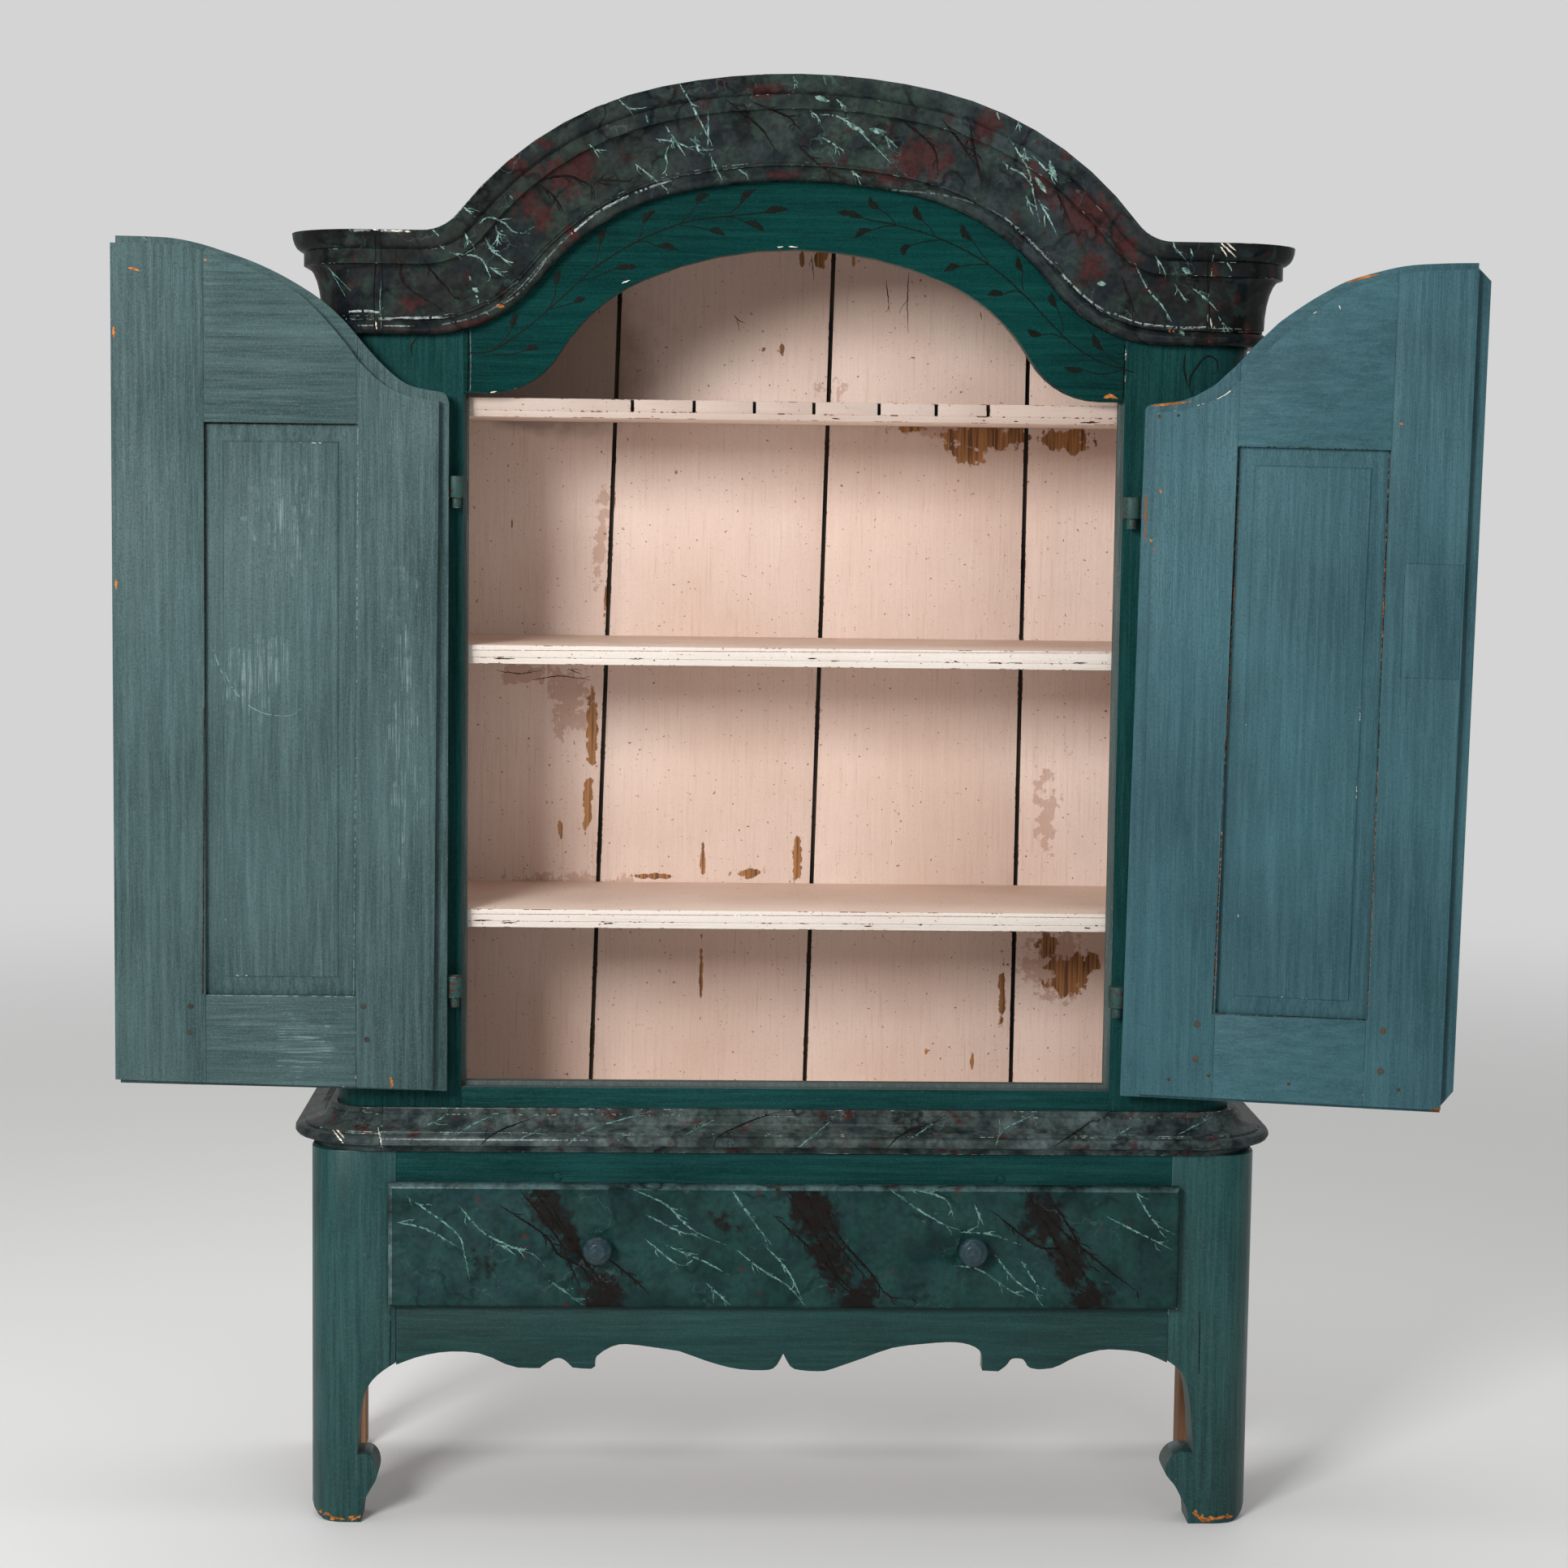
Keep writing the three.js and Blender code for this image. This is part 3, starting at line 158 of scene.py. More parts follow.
def mesh_of(name: str, work: bmesh.types.BMesh) -> bpy.types.Mesh:
    """Turns the work into a mesh.

    Args:
        name: Its name.
        work: The work, which is freed.

    Returns:
        The mesh.
    """
    mesh = bpy.data.meshes.new(name)
    work.to_mesh(mesh)
    work.free()
    return mesh


def show(name: str, data: bpy.types.ID) -> bpy.types.Object:
    """Puts a mesh, a light or a camera into the scene.

    Args:
        name: Its name.
        data: What it shows.

    Returns:
        The object.
    """
    shown = bpy.data.objects.new(name, data)
    bpy.context.scene.collection.objects.link(shown)
    return shown


class Grain(Enum):
    """The way in which grain and brush strokes run, as the shares by which each axis is drawn out."""

    NONE = (1.0, 1.0, 1.0)
    UPRIGHT = (1.0, 1.0, 0.035)
    LEVEL = (0.035, 1.0, 1.0)
    DEEP = (1.0, 0.035, 1.0)


@dataclass
class Camera:
    """The place and lens from which the photograph was taken, in millimetres, radians and pixels."""

    place_mm: tuple[float, float, float] = (-162.95, -4374.76, 1453.37)
    yaw: float = 0.0352885
    pitch: float = 0.0939810
    roll: float = 0.0132034
    focal_pixels: float = 3915.43
    sensor_mm: float = 36.0
    sight_m: float = 200.0

    def axes(self) -> tuple[Vector, Vector, Vector]:
        """Works out how the camera is turned.

        Returns:
            The ways right, up and ahead in the picture.
        """
        ahead = Vector((math.sin(self.yaw), math.cos(self.yaw), 0))
        side = Vector((math.cos(self.yaw), -math.sin(self.yaw), 0))
        above = Vector((0, 0, 1))
        view = math.cos(self.pitch) * ahead - math.sin(self.pitch) * above
        top = math.sin(self.pitch) * ahead + math.cos(self.pitch) * above
        right = math.cos(self.roll) * side + math.sin(self.roll) * top
        up = -math.sin(self.roll) * side + math.cos(self.roll) * top
        return right, up, view

    def ray(self, pixel: Pixel) -> Vector:
        """Looks through a pixel.

        Args:
            pixel: The place in the photograph.

        Returns:
            The way from the camera through it.
        """
        right, up, view = self.axes()
        middle = IMAGE_SIDE / 2
        across = (pixel[0] - middle) / self.focal_pixels
        down = (pixel[1] - middle) / self.focal_pixels
        return (view + across * right - down * up).normalized()

    def on_plane(self, pixel: Pixel, depth_mm: float) -> Vector:
        """Finds the place seen at a pixel on an upright plane.

        Args:
            pixel: The place in the photograph.
            depth_mm: How far behind the case's face the plane stands.

        Returns:
            The place.
        """
        start = at(*self.place_mm)
        way = self.ray(pixel)
        return start + way * ((FACE_Y + depth_mm * MM - start.y) / way.y)

    def build(self) -> None:
        """Makes the scene's camera."""
        lens = bpy.data.cameras.new("camera")
        lens.sensor_width = self.sensor_mm
        lens.sensor_fit = "HORIZONTAL"
        lens.lens = self.sensor_mm * self.focal_pixels / IMAGE_SIDE
        lens.clip_end = self.sight_m
        camera = show("camera", lens)
        right, up, view = self.axes()
        turned = Matrix((right, up, -view)).transposed().to_4x4()
        turned.translation = at(*self.place_mm)
        camera.matrix_world = turned
        bpy.context.scene.camera = camera


CAMERA = Camera()


@dataclass(frozen=True)
class Spot:
    """A round or long place on a surface, such as a worn or dirty patch.

    Fields: its middle in the photograph, how far behind the case's face it lies, its half width and half
    height, how far it leans over to the right, and how strong it is.
    """

    middle: Pixel
    depth_mm: float
    half_width_mm: float
    half_height_mm: float
    lean: float = 0.0
    strength: float = 1.0

    def falloff(self, tree: Tree) -> Socket:
        """Builds the spot's nodes.

        Args:
            tree: The material's tree.

        Returns:
            Its strength in the middle, falling to zero at its edge.
        """
        values = {
            "Vector": put(tree, PLACE, out="Object"),
            "Location": CAMERA.on_plane(self.middle, self.depth_mm),
            "Rotation": (0.0, self.lean, 0.0),
            "Scale": (self.half_width_mm * MM, 1.0, self.half_height_mm * MM),
        }
        moved = put(tree, MAPPING, values, vector_type="TEXTURE")
        reach = put(tree, "ShaderNodeVectorMath", {0: moved}, "Value", operation="LENGTH")
        return put(tree, RANGE, {"Value": reach, "To Min": self.strength, "To Max": 0.0}, clamp=True)


class Recipe:
    """A material in the making: its tree, its shader, and the colours that have been laid so far."""

    def __init__(self, name: str, ground: str) -> None:
        """Starts a material.

        Args:
            name: The material's name.
            ground: The colour that lies lowest.
        """
        self.made = bpy.data.materials.new(name)
        self.made.use_nodes = True
        self.tree = self.made.node_tree
        self.shader = self.tree.nodes["Principled BSDF"]
        self.colours: Any = linear(ground)

    def noise(
        self,
        size_mm: float,
        low: float | None = None,
        high: float = 1.0,
        detail: float = 4.0,
        shift: float = 0.0,
        grain: Grain = Grain.NONE,
    ) -> Socket:
        """A noise of blots, or of streaks where a grain draws it out.

        Args:
            size_mm: The width of a blot or a streak.
            low: The value of the noise that becomes zero, or nothing where the noise stays as it is.
            high: The value that becomes one.
            detail: How many finer levels it has.
            shift: What makes it unlike the others.
            grain: The way in which it is drawn out.

        Returns:
            The noise, from zero to one.
        """
        place = put(self.tree, PLACE, out="Object")
        drawn = {"Vector": place, "Scale": grain.value, "Location": (shift, shift, shift)}
        fine = {"Vector": put(self.tree, MAPPING, drawn), "Scale": 1 / (size_mm * MM), "Detail": detail}
        noise = put(self.tree, "ShaderNodeTexNoise", fine)
        if low is None:
            return noise
        return put(self.tree, RANGE, {"Value": noise, "From Min": low, "From Max": high}, clamp=True)

    def lay(self, factor: Socket, colour: str | Socket, share: float = 1.0) -> None:
        """Lays a colour over the colours below.

        Args:
            factor: Where it shows, from zero to one.
            colour: The colour.
            share: How much of it shows where the factor is one.
        """
        if share != 1.0:
            factor = put(self.tree, MATH, {0: factor, 1: share}, operation="MULTIPLY")
        above = linear(colour) if isinstance(colour, str) else colour
        self.colours = put(self.tree, MIX, {0: factor, 6: self.colours, 7: above}, 2, data_type="RGBA")

    def spread(
        self, spots: Sequence[Spot], noise: Socket, swell: float, ends: tuple[float, float], fade: float
    ) -> Socket:
        """Patches whose outline is eaten away by a noise.

        Args:
            spots: The patches.
            noise: What is added to their falloff.
            swell: What their falloff is multiplied by first.
            ends: The sums that become zero and one.
            fade: The falloff below which a patch fades out.

        Returns:
            One inside the patches and zero outside.
        """
        whole = spots[0].falloff(self.tree)
        for spot in spots[1:]:
            whole = put(self.tree, MATH, {0: whole, 1: spot.falloff(self.tree)}, operation="MAXIMUM")
        summed = put(self.tree, MATH, {0: whole, 1: swell, 2: noise}, operation="MULTIPLY_ADD")
        held = put(self.tree, RANGE, {"Value": summed, "From Min": ends[0], "From Max": ends[1]}, clamp=True)
        shown = put(self.tree, RANGE, {"Value": whole, "From Max": fade}, clamp=True)
        return put(self.tree, MATH, {0: held, 1: shown}, operation="MULTIPLY")

    def ragged(self, spots: Sequence[Spot], size_mm: float, shift: float) -> Socket:
        """Patches with ragged edges, as where paint has flaked.

        Args:
            spots: The patches.
            size_mm: The size of the rags.
            shift: What makes the rags unlike the others.

        Returns:
            One inside the patches and zero outside.
        """
        upright = self.noise(size_mm, detail=5, shift=shift, grain=Grain.UPRIGHT)
        round_rags = self.noise(size_mm * 1.6, shift=shift)
        rags = put(self.tree, MIX, {0: 0.6, 6: upright, 7: round_rags}, 2, data_type="RGBA")
        mottled = self.noise(size_mm * 3.5, detail=6, shift=shift)
        noise = put(self.tree, MATH, {0: rags, 1: mottled}, operation="ADD")
        return self.spread(spots, noise, 0.9, (1.45, 1.53), 0.1)

    def misted(self, spots: Sequence[Spot], size_mm: float, shift: float) -> Socket:
        """Patches with soft smoky edges.

        Args:
            spots: The patches.
            size_mm: The size of the smoke's billows.
            shift: What makes the smoke unlike the others.

        Returns:
            One inside the patches and zero outside.
        """
        billows = self.noise(size_mm, detail=6, shift=shift)
        noise = put(self.tree, MATH, {0: billows, 1: 1.6}, operation="MULTIPLY")
        return self.spread(spots, noise, 1.0, (1.02, 1.4), 0.12)

    def on_edges(self, factor: Socket, low: float, high: float) -> Socket:
        """Where the paint of an eased edge has gone, since paint rubs off there first.

        Args:
            factor: A noise.
            low: The value of the noise that becomes zero.
            high: The value that becomes one.

        Returns:
            One in the worn places of the edges and zero elsewhere.
        """
        gone = put(self.tree, RANGE, {"Value": factor, "From Min": low, "From Max": high}, clamp=True)
        edge = put(self.tree, "ShaderNodeAttribute", out="Fac", attribute_name="rubbed")
        return put(self.tree, MATH, {0: gone, 1: edge}, operation="MULTIPLY")

    def worn(self, broad_mm: float, fine_mm: float, shift: float = 2.2) -> Socket:
        """Worn stretches with chips in them.

        Args:
            broad_mm: The length of a stretch.
            fine_mm: The size of a chip.
            shift: What makes the chips unlike the others.

        Returns:
            The sum of both noises.
        """
        broad = self.noise(broad_mm, detail=2, shift=6.0)
        fine = self.noise(fine_mm, detail=5, shift=shift)
        return put(self.tree, MATH, {0: broad, 1: fine}, operation="ADD")

    def done(
        self,
        matter: dict[str, Any],
        relief: Socket | None = None,
        strength: float = 0.4,
        depth_mm: float = 0.6,
        normals: Sequence[str] = ("Normal",),
    ) -> bpy.types.Material:
        """Gives the shader its colours, its relief and its other values.

        Args:
            matter: The shader's other values, by their names.
            relief: The height of the surface, from zero to one.
            strength: How strongly the relief turns the light.
            depth_mm: How deep it is.
            normals: The inputs that take the relief.

        Returns:
            The material.
        """
        fill(self.shader, {"Base Color": self.colours, **matter})
        if relief:
            heights = {"Height": relief, "Strength": strength, "Distance": depth_mm * MM}
            bump = put(self.tree, "ShaderNodeBump", heights)
            fill(self.shader, {name: bump for name in normals})
        return self.made


@dataclass(frozen=True)
class OilPaint:
    """Linseed oil paint brushed on softwood: satin, streaked, and rubbed to the wood at its edges.

    The eye sees long soft streaks of lighter and darker paint, a broad unevenness of tone, fine ridges that
    catch the light, and pale ground or orange wood where edges are rubbed.
    """

    name: str
    colour: str
    shade: str
    streak: str
    grain: Grain
    roughness: float = 0.42
    shine: float = 0.1
    varnish: float = 0.0
    streaked: float = 0.25
    wear: float = 0.2
    reflected: str = "#FFFFFF"
    ground: str = "#B9B6A4"
    bare: str = "#B5713A"
    # Patches of painted sheen and their colour
    pale: tuple[Spot, ...] = ()
    painted_sheen_colour: str = "#7F9492"
    brown: tuple[Spot, ...] = ()
    brown_colour: str = "#6B4A30"

    def material(self) -> bpy.types.Material:
        """Builds the paint's nodes.

        Returns:
            The material.
        """
        mix = Recipe(self.name, self.colour)
        broad = mix.noise(240, 0.36, 0.64)
        streaks = mix.noise(7, 0.42, 0.7, detail=3, grain=self.grain)
        fine = mix.noise(1.8, 0.45, 0.75, detail=3, grain=self.grain)
        pits = mix.noise(3.2, 0.52, 0.75, detail=2, shift=19.0)
        mix.lay(broad, self.shade)
        mix.lay(mix.noise(13, 0.5, 0.72, shift=4.4, grain=self.grain), self.shade, 0.35)
        for lighter in (streaks, fine, mix.noise(2.6, 0.5, 0.75, detail=2, shift=14.0)):
            mix.lay(lighter, self.streak, self.streaked)
        mix.lay(pits, self.shade, 0.5)
        # Painted sheen: pale fine streaks laid in the given patches
        if self.pale:
            strands = mix.noise(2.4, 0.5, 0.68, detail=3, shift=12.0, grain=self.grain)
            painted_sheen_streaks = put(mix.tree, MATH, {0: mix.misted(self.pale, 18, 2.0), 1: strands}, operation="MULTIPLY")
            mix.lay(painted_sheen_streaks, self.painted_sheen_colour, 0.55)
        if self.brown:
            mix.lay(mix.ragged(self.brown, 4, 9.0), self.brown_colour)
        low = 1.2 - self.wear * 0.3
        worn = mix.worn(60, 7, 0.0)
        mix.lay(mix.on_edges(worn, low, low + 0.04), self.ground)
        mix.lay(mix.on_edges(worn, low + 0.06, low + 0.09), self.bare)
        ridges = put(mix.tree, MATH, {0: streaks, 1: fine}, operation="ADD")
        relief = put(mix.tree, MATH, {0: ridges, 1: pits}, operation="SUBTRACT")
        dulled = {"Value": broad, "To Min": self.roughness - 0.06, "To Max": self.roughness + 0.1}
        matter = {
            "Roughness": put(mix.tree, RANGE, dulled),
            "IOR": 1.5,
            "Specular IOR Level": self.shine,
            "Specular Tint": linear(self.reflected),
            "Coat Weight": self.varnish,
            "Coat Roughness": 0.3,
        }
        return mix.done(matter, relief, 0.45)


@dataclass(frozen=True)
class MarbledPaint:
    """Oil paint marbled wet in wet under a gloss varnish.

    The eye sees clouds that change along the moulding from grey-green through brown-red to near black,
    smoky veins, and a wet shine.
    """

    name: str
    stops: tuple[tuple[float, str], ...]
    spots: tuple[Spot, ...] = ()
    spot_colour: str = "#241713"
    spotting: float = 0.8
    red: str = "#4A211C"
    redness: float = 0.5
    black: str = "#070A09"
    vein: str = "#5E7672"
    veined: float = 0.25
    navy: str = "#141A22"
    green: str = "#2B3B34"
    patched: float = 0.6
    rubbed: str = "#8A9691"
    roughness: float = 0.4
    shine: float = 0.0
    varnish: float = 0.2
    varnish_roughness: float = 0.1
    reach: float = 0.7

    def along(self, mix: Recipe) -> Socket:
        """Makes the ground's colour, which changes along the piece from left to right.

        Args:
            mix: The material in the making.

        Returns:
            The colour.
        """
        across = put(mix.tree, "ShaderNodeSeparateXYZ", {0: put(mix.tree, PLACE, out="Object")}, "X")
        drift = {0: mix.noise(110, detail=5, shift=1.3), 1: 0.22, 2: -0.11}
        wander = put(mix.tree, MATH, drift, operation="MULTIPLY_ADD")
        shifted = put(mix.tree, MATH, {0: across, 1: wander}, operation="ADD")
        ends = {"From Min": CENTRE_X - self.reach, "From Max": CENTRE_X + self.reach}
        share = put(mix.tree, RANGE, {"Value": shifted, **ends}, clamp=True)
        colours = put(mix.tree, "ShaderNodeValToRGB", {"Fac": share}, "Color")
        band = colours.node.color_ramp
        for index, (place_share, colour) in enumerate(self.stops):
            stop = band.elements[index] if index < 2 else band.elements.new(place_share)
            stop.position = place_share
            stop.color = linear(colour)
        return colours

    def thread(self, mix: Recipe, size_mm: float, width: float, shift: float, where: Socket) -> Socket:
        """Makes thin wandering veins, where a noise passes through its middle value.

        Args:
            mix: The material in the making.
            size_mm: How far apart the veins wander.
            width: How wide they are, as a share of the noise.
            shift: What makes them unlike the others.
            where: The places that have them.

        Returns:
            One on a vein and zero beside it.
        """
        noise = mix.noise(size_mm, detail=5, shift=shift)
        off = put(mix.tree, MATH, {0: noise, 1: 0.5}, operation="SUBTRACT")
        away = put(mix.tree, MATH, {0: off}, operation="ABSOLUTE")
        falling = {"Value": away, "From Max": width, "To Min": 1.0, "To Max": 0.0}
        line = put(mix.tree, RANGE, falling, clamp=True)
        return put(mix.tree, MATH, {0: line, 1: where}, operation="MULTIPLY")

    def material(self) -> bpy.types.Material:
        """Builds the paint's nodes.

        Returns:
            The material.
        """
        mix = Recipe(self.name, self.black)
        mix.colours = self.along(mix)
        tone = mix.noise(45, 0.4, 0.68, detail=6, shift=7.7)
        mix.lay(tone, self.black, 0.75)
        mix.lay(mix.noise(26, 0.5, 0.64, detail=7, shift=21.0), self.green, self.patched)
        mix.lay(mix.noise(34, 0.5, 0.64, detail=7, shift=33.0), self.navy, self.patched)
        low, high = 0.66 - self.redness * 0.14, 0.74 - self.redness * 0.1
        mix.lay(mix.noise(30, low, high, detail=8, shift=11.0), self.red, 0.8)
        if self.spots:
            mix.lay(mix.misted(self.spots, 11, 5.0), self.spot_colour, self.spotting)
        mix.lay(mix.noise(7, 0.42, 0.7, shift=15.0), self.black, 0.45)
        smoky = mix.noise(90, 0.4, 0.6, detail=2, shift=4.0)
        mix.lay(self.thread(mix, 80, 0.035, 3.1, smoky), self.black, 0.8)
        veiny = mix.noise(70, 0.5, 0.62, detail=3, shift=8.0)
        mix.lay(self.thread(mix, 60, 0.008, 17.0, veiny), self.vein, self.veined)
        mix.lay(mix.on_edges(mix.worn(50, 6), 1.16, 1.2), self.rubbed)
        fine = mix.noise(7, 0.35, 0.75, detail=3, shift=1.0)
        relief = put(mix.tree, MATH, {0: tone, 1: fine}, operation="ADD")
        matter = {
            "Roughness": self.roughness,
            "IOR": 1.5,
            "Specular IOR Level": self.shine,
            "Coat Weight": self.varnish,
            "Coat Roughness": self.varnish_roughness,
        }
        return mix.done(matter, relief, 0.25, 0.8, ("Coat Normal", "Normal"))


@dataclass(frozen=True)
class PinkPaint:
    """Matt pink distemper on rough boards: streaked, yellowed, and worn to brown wood in patches.

    The eye sees a chalky flat skin with faint upright or level brush lines, small brown specks where it has
    flaked, and larger ragged patches of bare wood.
    """

    name: str
    colour: str
    shade: str
    streak: str = "#F0DACB"
    grain: Grain = Grain.UPRIGHT
    specks: float = 0.0
    bare_spots: tuple[Spot, ...] = ()
    bare: str = "#8A5B34"
    wood: str = "#A87443"
    rings: str = "#5A3A22"
    stains: tuple[Spot, ...] = ()
    stain: str = "#A67C66"
    # Patches of painted shade and their colour
    painted_shade_spots: tuple[Spot, ...] = ()
    painted_shade_colour: str = "#5E3D28"
    rubbed: str = "#6E4A30"

    def material(self) -> bpy.types.Material:
        """Builds the paint's nodes.

        Returns:
            The material.
        """
        mix = Recipe(self.name, self.colour)
        streaks = mix.noise(5, 0.4, 0.75, detail=3, grain=self.grain)
        mix.lay(mix.noise(300, 0.35, 0.65), self.shade)
        mix.lay(streaks, self.streak, 0.12)
        mix.lay(mix.noise(2.4, 0.58, 0.76, shift=8.0, grain=self.grain), self.stain, 0.3)
        mix.lay(mix.noise(2.6, 0.5, 0.75, detail=2, shift=16.0), self.stain, 0.14)
        if self.stains:
            mix.lay(mix.ragged(self.stains, 5, 3.0), self.stain, 0.55)
        # Painted shade: a smoky dark brown laid where the back boards lie in shadow
        if self.painted_shade_spots:
            mix.lay(mix.misted(self.painted_shade_spots, 90, 23.0), self.painted_shade_colour, 0.5)
        flaked = mix.noise(5, 0.74 - self.specks * 0.08, 0.76 - self.specks * 0.08, shift=5.0)
        mix.lay(flaked, self.bare)
        if self.bare_spots:
            ringed = mix.noise(3, 0.4, 0.65, shift=2.0, grain=self.grain)
            shown = {0: ringed, 6: linear(self.wood), 7: linear(self.rings)}
            mix.lay(mix.ragged(self.bare_spots, 5, 1.0), put(mix.tree, MIX, shown, 2, data_type="RGBA"))
        mix.lay(mix.on_edges(mix.worn(40, 6), 1.1, 1.14), self.rubbed)
        relief = put(mix.tree, MATH, {0: streaks, 1: flaked}, operation="SUBTRACT")
        return mix.done({"Roughness": 0.65}, relief, 0.3)


@dataclass(frozen=True)
class BareWood:
    """Old softwood without paint: brown, dry and matt, with the grain standing up a little."""

    name: str
    colour: str = "#8A6242"
    shade: str = "#5E3F2A"
    grain: Grain = Grain.UPRIGHT
    dust: str = "#A08566"

    def material(self) -> bpy.types.Material:
        """Builds the wood's nodes.

        Returns:
            The material.
        """
        mix = Recipe(self.name, self.colour)
        rings = mix.noise(7, 0.35, 0.7, detail=5, grain=self.grain)
        mix.lay(rings, self.shade)
        mix.lay(mix.noise(160, 0.4, 0.7, shift=2.0), self.dust, 0.2)
        return mix.done({"Roughness": 0.8}, rings)


@dataclass(frozen=True)
class PaintedIron:
    """Forged iron painted over with the wood: uneven, satin, with rust where it rubs."""

    name: str
    colour: str = "#24423F"
    rust: str = "#3E2420"
    rusted: float = 0.5
    rubbed: str = "#9C8F8A"

    def material(self) -> bpy.types.Material:
        """Builds the iron's nodes.

        Returns:
            The material.
        """
        mix = Recipe(self.name, self.colour)
        spots = mix.noise(6, 0.62 - self.rusted * 0.14, 0.66 - self.rusted * 0.1, detail=6)
        mix.lay(spots, self.rust)
        mix.lay(mix.on_edges(mix.noise(9, shift=2.0), 0.5, 0.56), self.rubbed)
        return mix.done({"Roughness": 0.5, "Specular IOR Level": 0.2}, spots, depth_mm=0.5)


@dataclass(frozen=True)
class StrokePaint:
    """A thin coat of artist's oil colour put on with a small brush, a little uneven in tone."""

    name: str
    colour: str
    shade: str
    roughness: float = 0.5

    def material(self) -> bpy.types.Material:
        """Builds the coat's nodes.

        Returns:
            The material.
        """
        mix = Recipe(self.name, self.colour)
        mix.lay(mix.noise(7, 0.38, 0.6, detail=5, shift=1.0), self.shade)
        return mix.done({"Roughness": self.roughness, "Specular IOR Level": 0.05})


DRAWER_FACE_MM = -20.0


def spots(depth_mm: float, *rows: tuple[Any, ...]) -> tuple[Spot, ...]:
    """Makes spots that lie at one depth.

    Args:
        depth_mm: How far behind the case's face they lie.
        rows: For each its middle, its half sizes, and its lean and strength where it has them.

    Returns:
        The spots.
    """
    return tuple(Spot(middle, depth_mm, *rest) for middle, *rest in rows)


# Places in the photograph, in its pixels: joints, worn places, painted highlights and shade, veins and leaves
BOARD_BARE = spots(
    BACK_FACE_MM,
    ((1215, 538), 110, 34, 0.0, 1.25), ((1190, 560), 46, 26, 0.3, 1.15), ((1312, 542), 70, 32, 0.0, 1.15),
    ((1120, 528), 60, 10), ((730, 900), 18, 100, 0.0, 1.15), ((724, 990), 14, 90, 0.06),
    ((690, 1020), 8, 36, 0.0, 1.05), ((810, 1080), 70, 8, 0.0, 1.1), ((866, 1060), 8, 50, 0.0, 1.05),
    ((920, 1076), 50, 14, 0.0, 1.05), ((982, 1058), 14, 60, 0.0, 1.1), ((1316, 1200), 60, 60, 0.0, 1.15),
    ((1290, 1165), 30, 40), ((1345, 1185), 24, 30), ((1235, 1220), 12, 100, 0.0, 0.9),
    ((864, 1200), 6, 110), ((1141, 1296), 5, 10, 0.0, 1.1), ((1198, 1306), 5, 24, 0.0, 1.05),
    ((1012, 316), 22, 30), ((988, 318), 8, 26, 0.0, 0.9), ((963, 428), 12, 20),
    ((942, 430), 8, 10, 0.0, 0.8), ((1052, 320), 6, 34, 0.0, 0.9), ((833, 582), 4, 5, 0.0, 1.3),
    ((631, 645), 3, 12, 0.0, 1.2), ((754, 640), 5, 120, 0.06, 0.95), ((746, 740), 6, 60, 0.06, 0.9),
    ((1245, 385), 4, 6),
)
# Painted shade: dark brown patches on the back boards at the upper left of the arched compartment, where the
# frieze and the left stile cast shadow
BOARD_PAINTED_SHADE = spots(
    BACK_FACE_MM,
    ((690, 440), 190, 150, 0.0, 1.2), ((640, 500), 120, 60, 0.0, 1.2),
)
BOARD_STAINS = spots(
    BACK_FACE_MM,
    ((1300, 1190), 90, 110, 0.0, 0.95), ((705, 870), 70, 120, 0.0, 0.85), ((742, 660), 22, 170, 0.05, 0.85),
    ((650, 830), 110, 34, 0.0, 0.9), ((1180, 530), 190, 40, 0.0, 0.8), ((700, 1085), 180, 40, 0.0, 0.8),
    ((1290, 1000), 60, 160, 0.0, 0.7), ((1020, 480), 60, 50, 0.0, 0.7),
)
DRAWER_BANDS = spots(
    DRAWER_FACE_MM,
    ((680, 1490), 34, 70, -0.6, 1.1), ((712, 1540), 26, 90, -0.5), ((745, 1590), 44, 50, -0.9, 1.1),
    ((1000, 1490), 46, 70, -0.5, 1.15), ((1022, 1545), 34, 90, -0.45, 1.05),
    ((1060, 1595), 48, 44, -0.9), ((1284, 1495), 44, 60, -0.35, 1.1),
    ((1312, 1548), 34, 80, -0.35, 1.05), ((1340, 1595), 44, 40, -0.8, 0.95),
    ((600, 1556), 46, 18, 0.9, 0.6), ((895, 1500), 40, 24, 0.6, 0.6),
)
CORNICE_REDS = (
    *spots(
        -110.0,
        ((634, 198), 26, 22, 0.5), ((668, 170), 18, 12, 0.5), ((945, 106), 36, 14),
        ((1222, 150), 26, 40, 0.5),
    ),
    *spots(
        -90.0,
        ((716, 200), 28, 36, 0.3), ((1290, 225), 70, 22, 0.8, 0.8),
    ),
    *spots(
        -60.0,
        ((667, 268), 28, 26, 0.5), ((1350, 325), 28, 30, 0.6), ((650, 250), 34, 30, 0.5, 0.7),
        ((1090, 215), 60, 16, 0.2, 0.7),
    ),
    *spots(
        -50.0,
        ((703, 285), 22, 10, 0.9), ((965, 213), 34, 9), ((590, 395), 90, 8, -0.2, 0.8),
    ),
    *spots(
        -80.0,
        ((1122, 197), 34, 32, 0.4), ((1345, 265), 60, 44, 0.6), ((500, 372), 24, 20, 0.0, 0.8),
        ((690, 215), 50, 34, 0.5, 0.8), ((1150, 190), 60, 44, 0.3, 0.75),
        ((1390, 300), 60, 22, 0.9, 0.75),
    ),
)
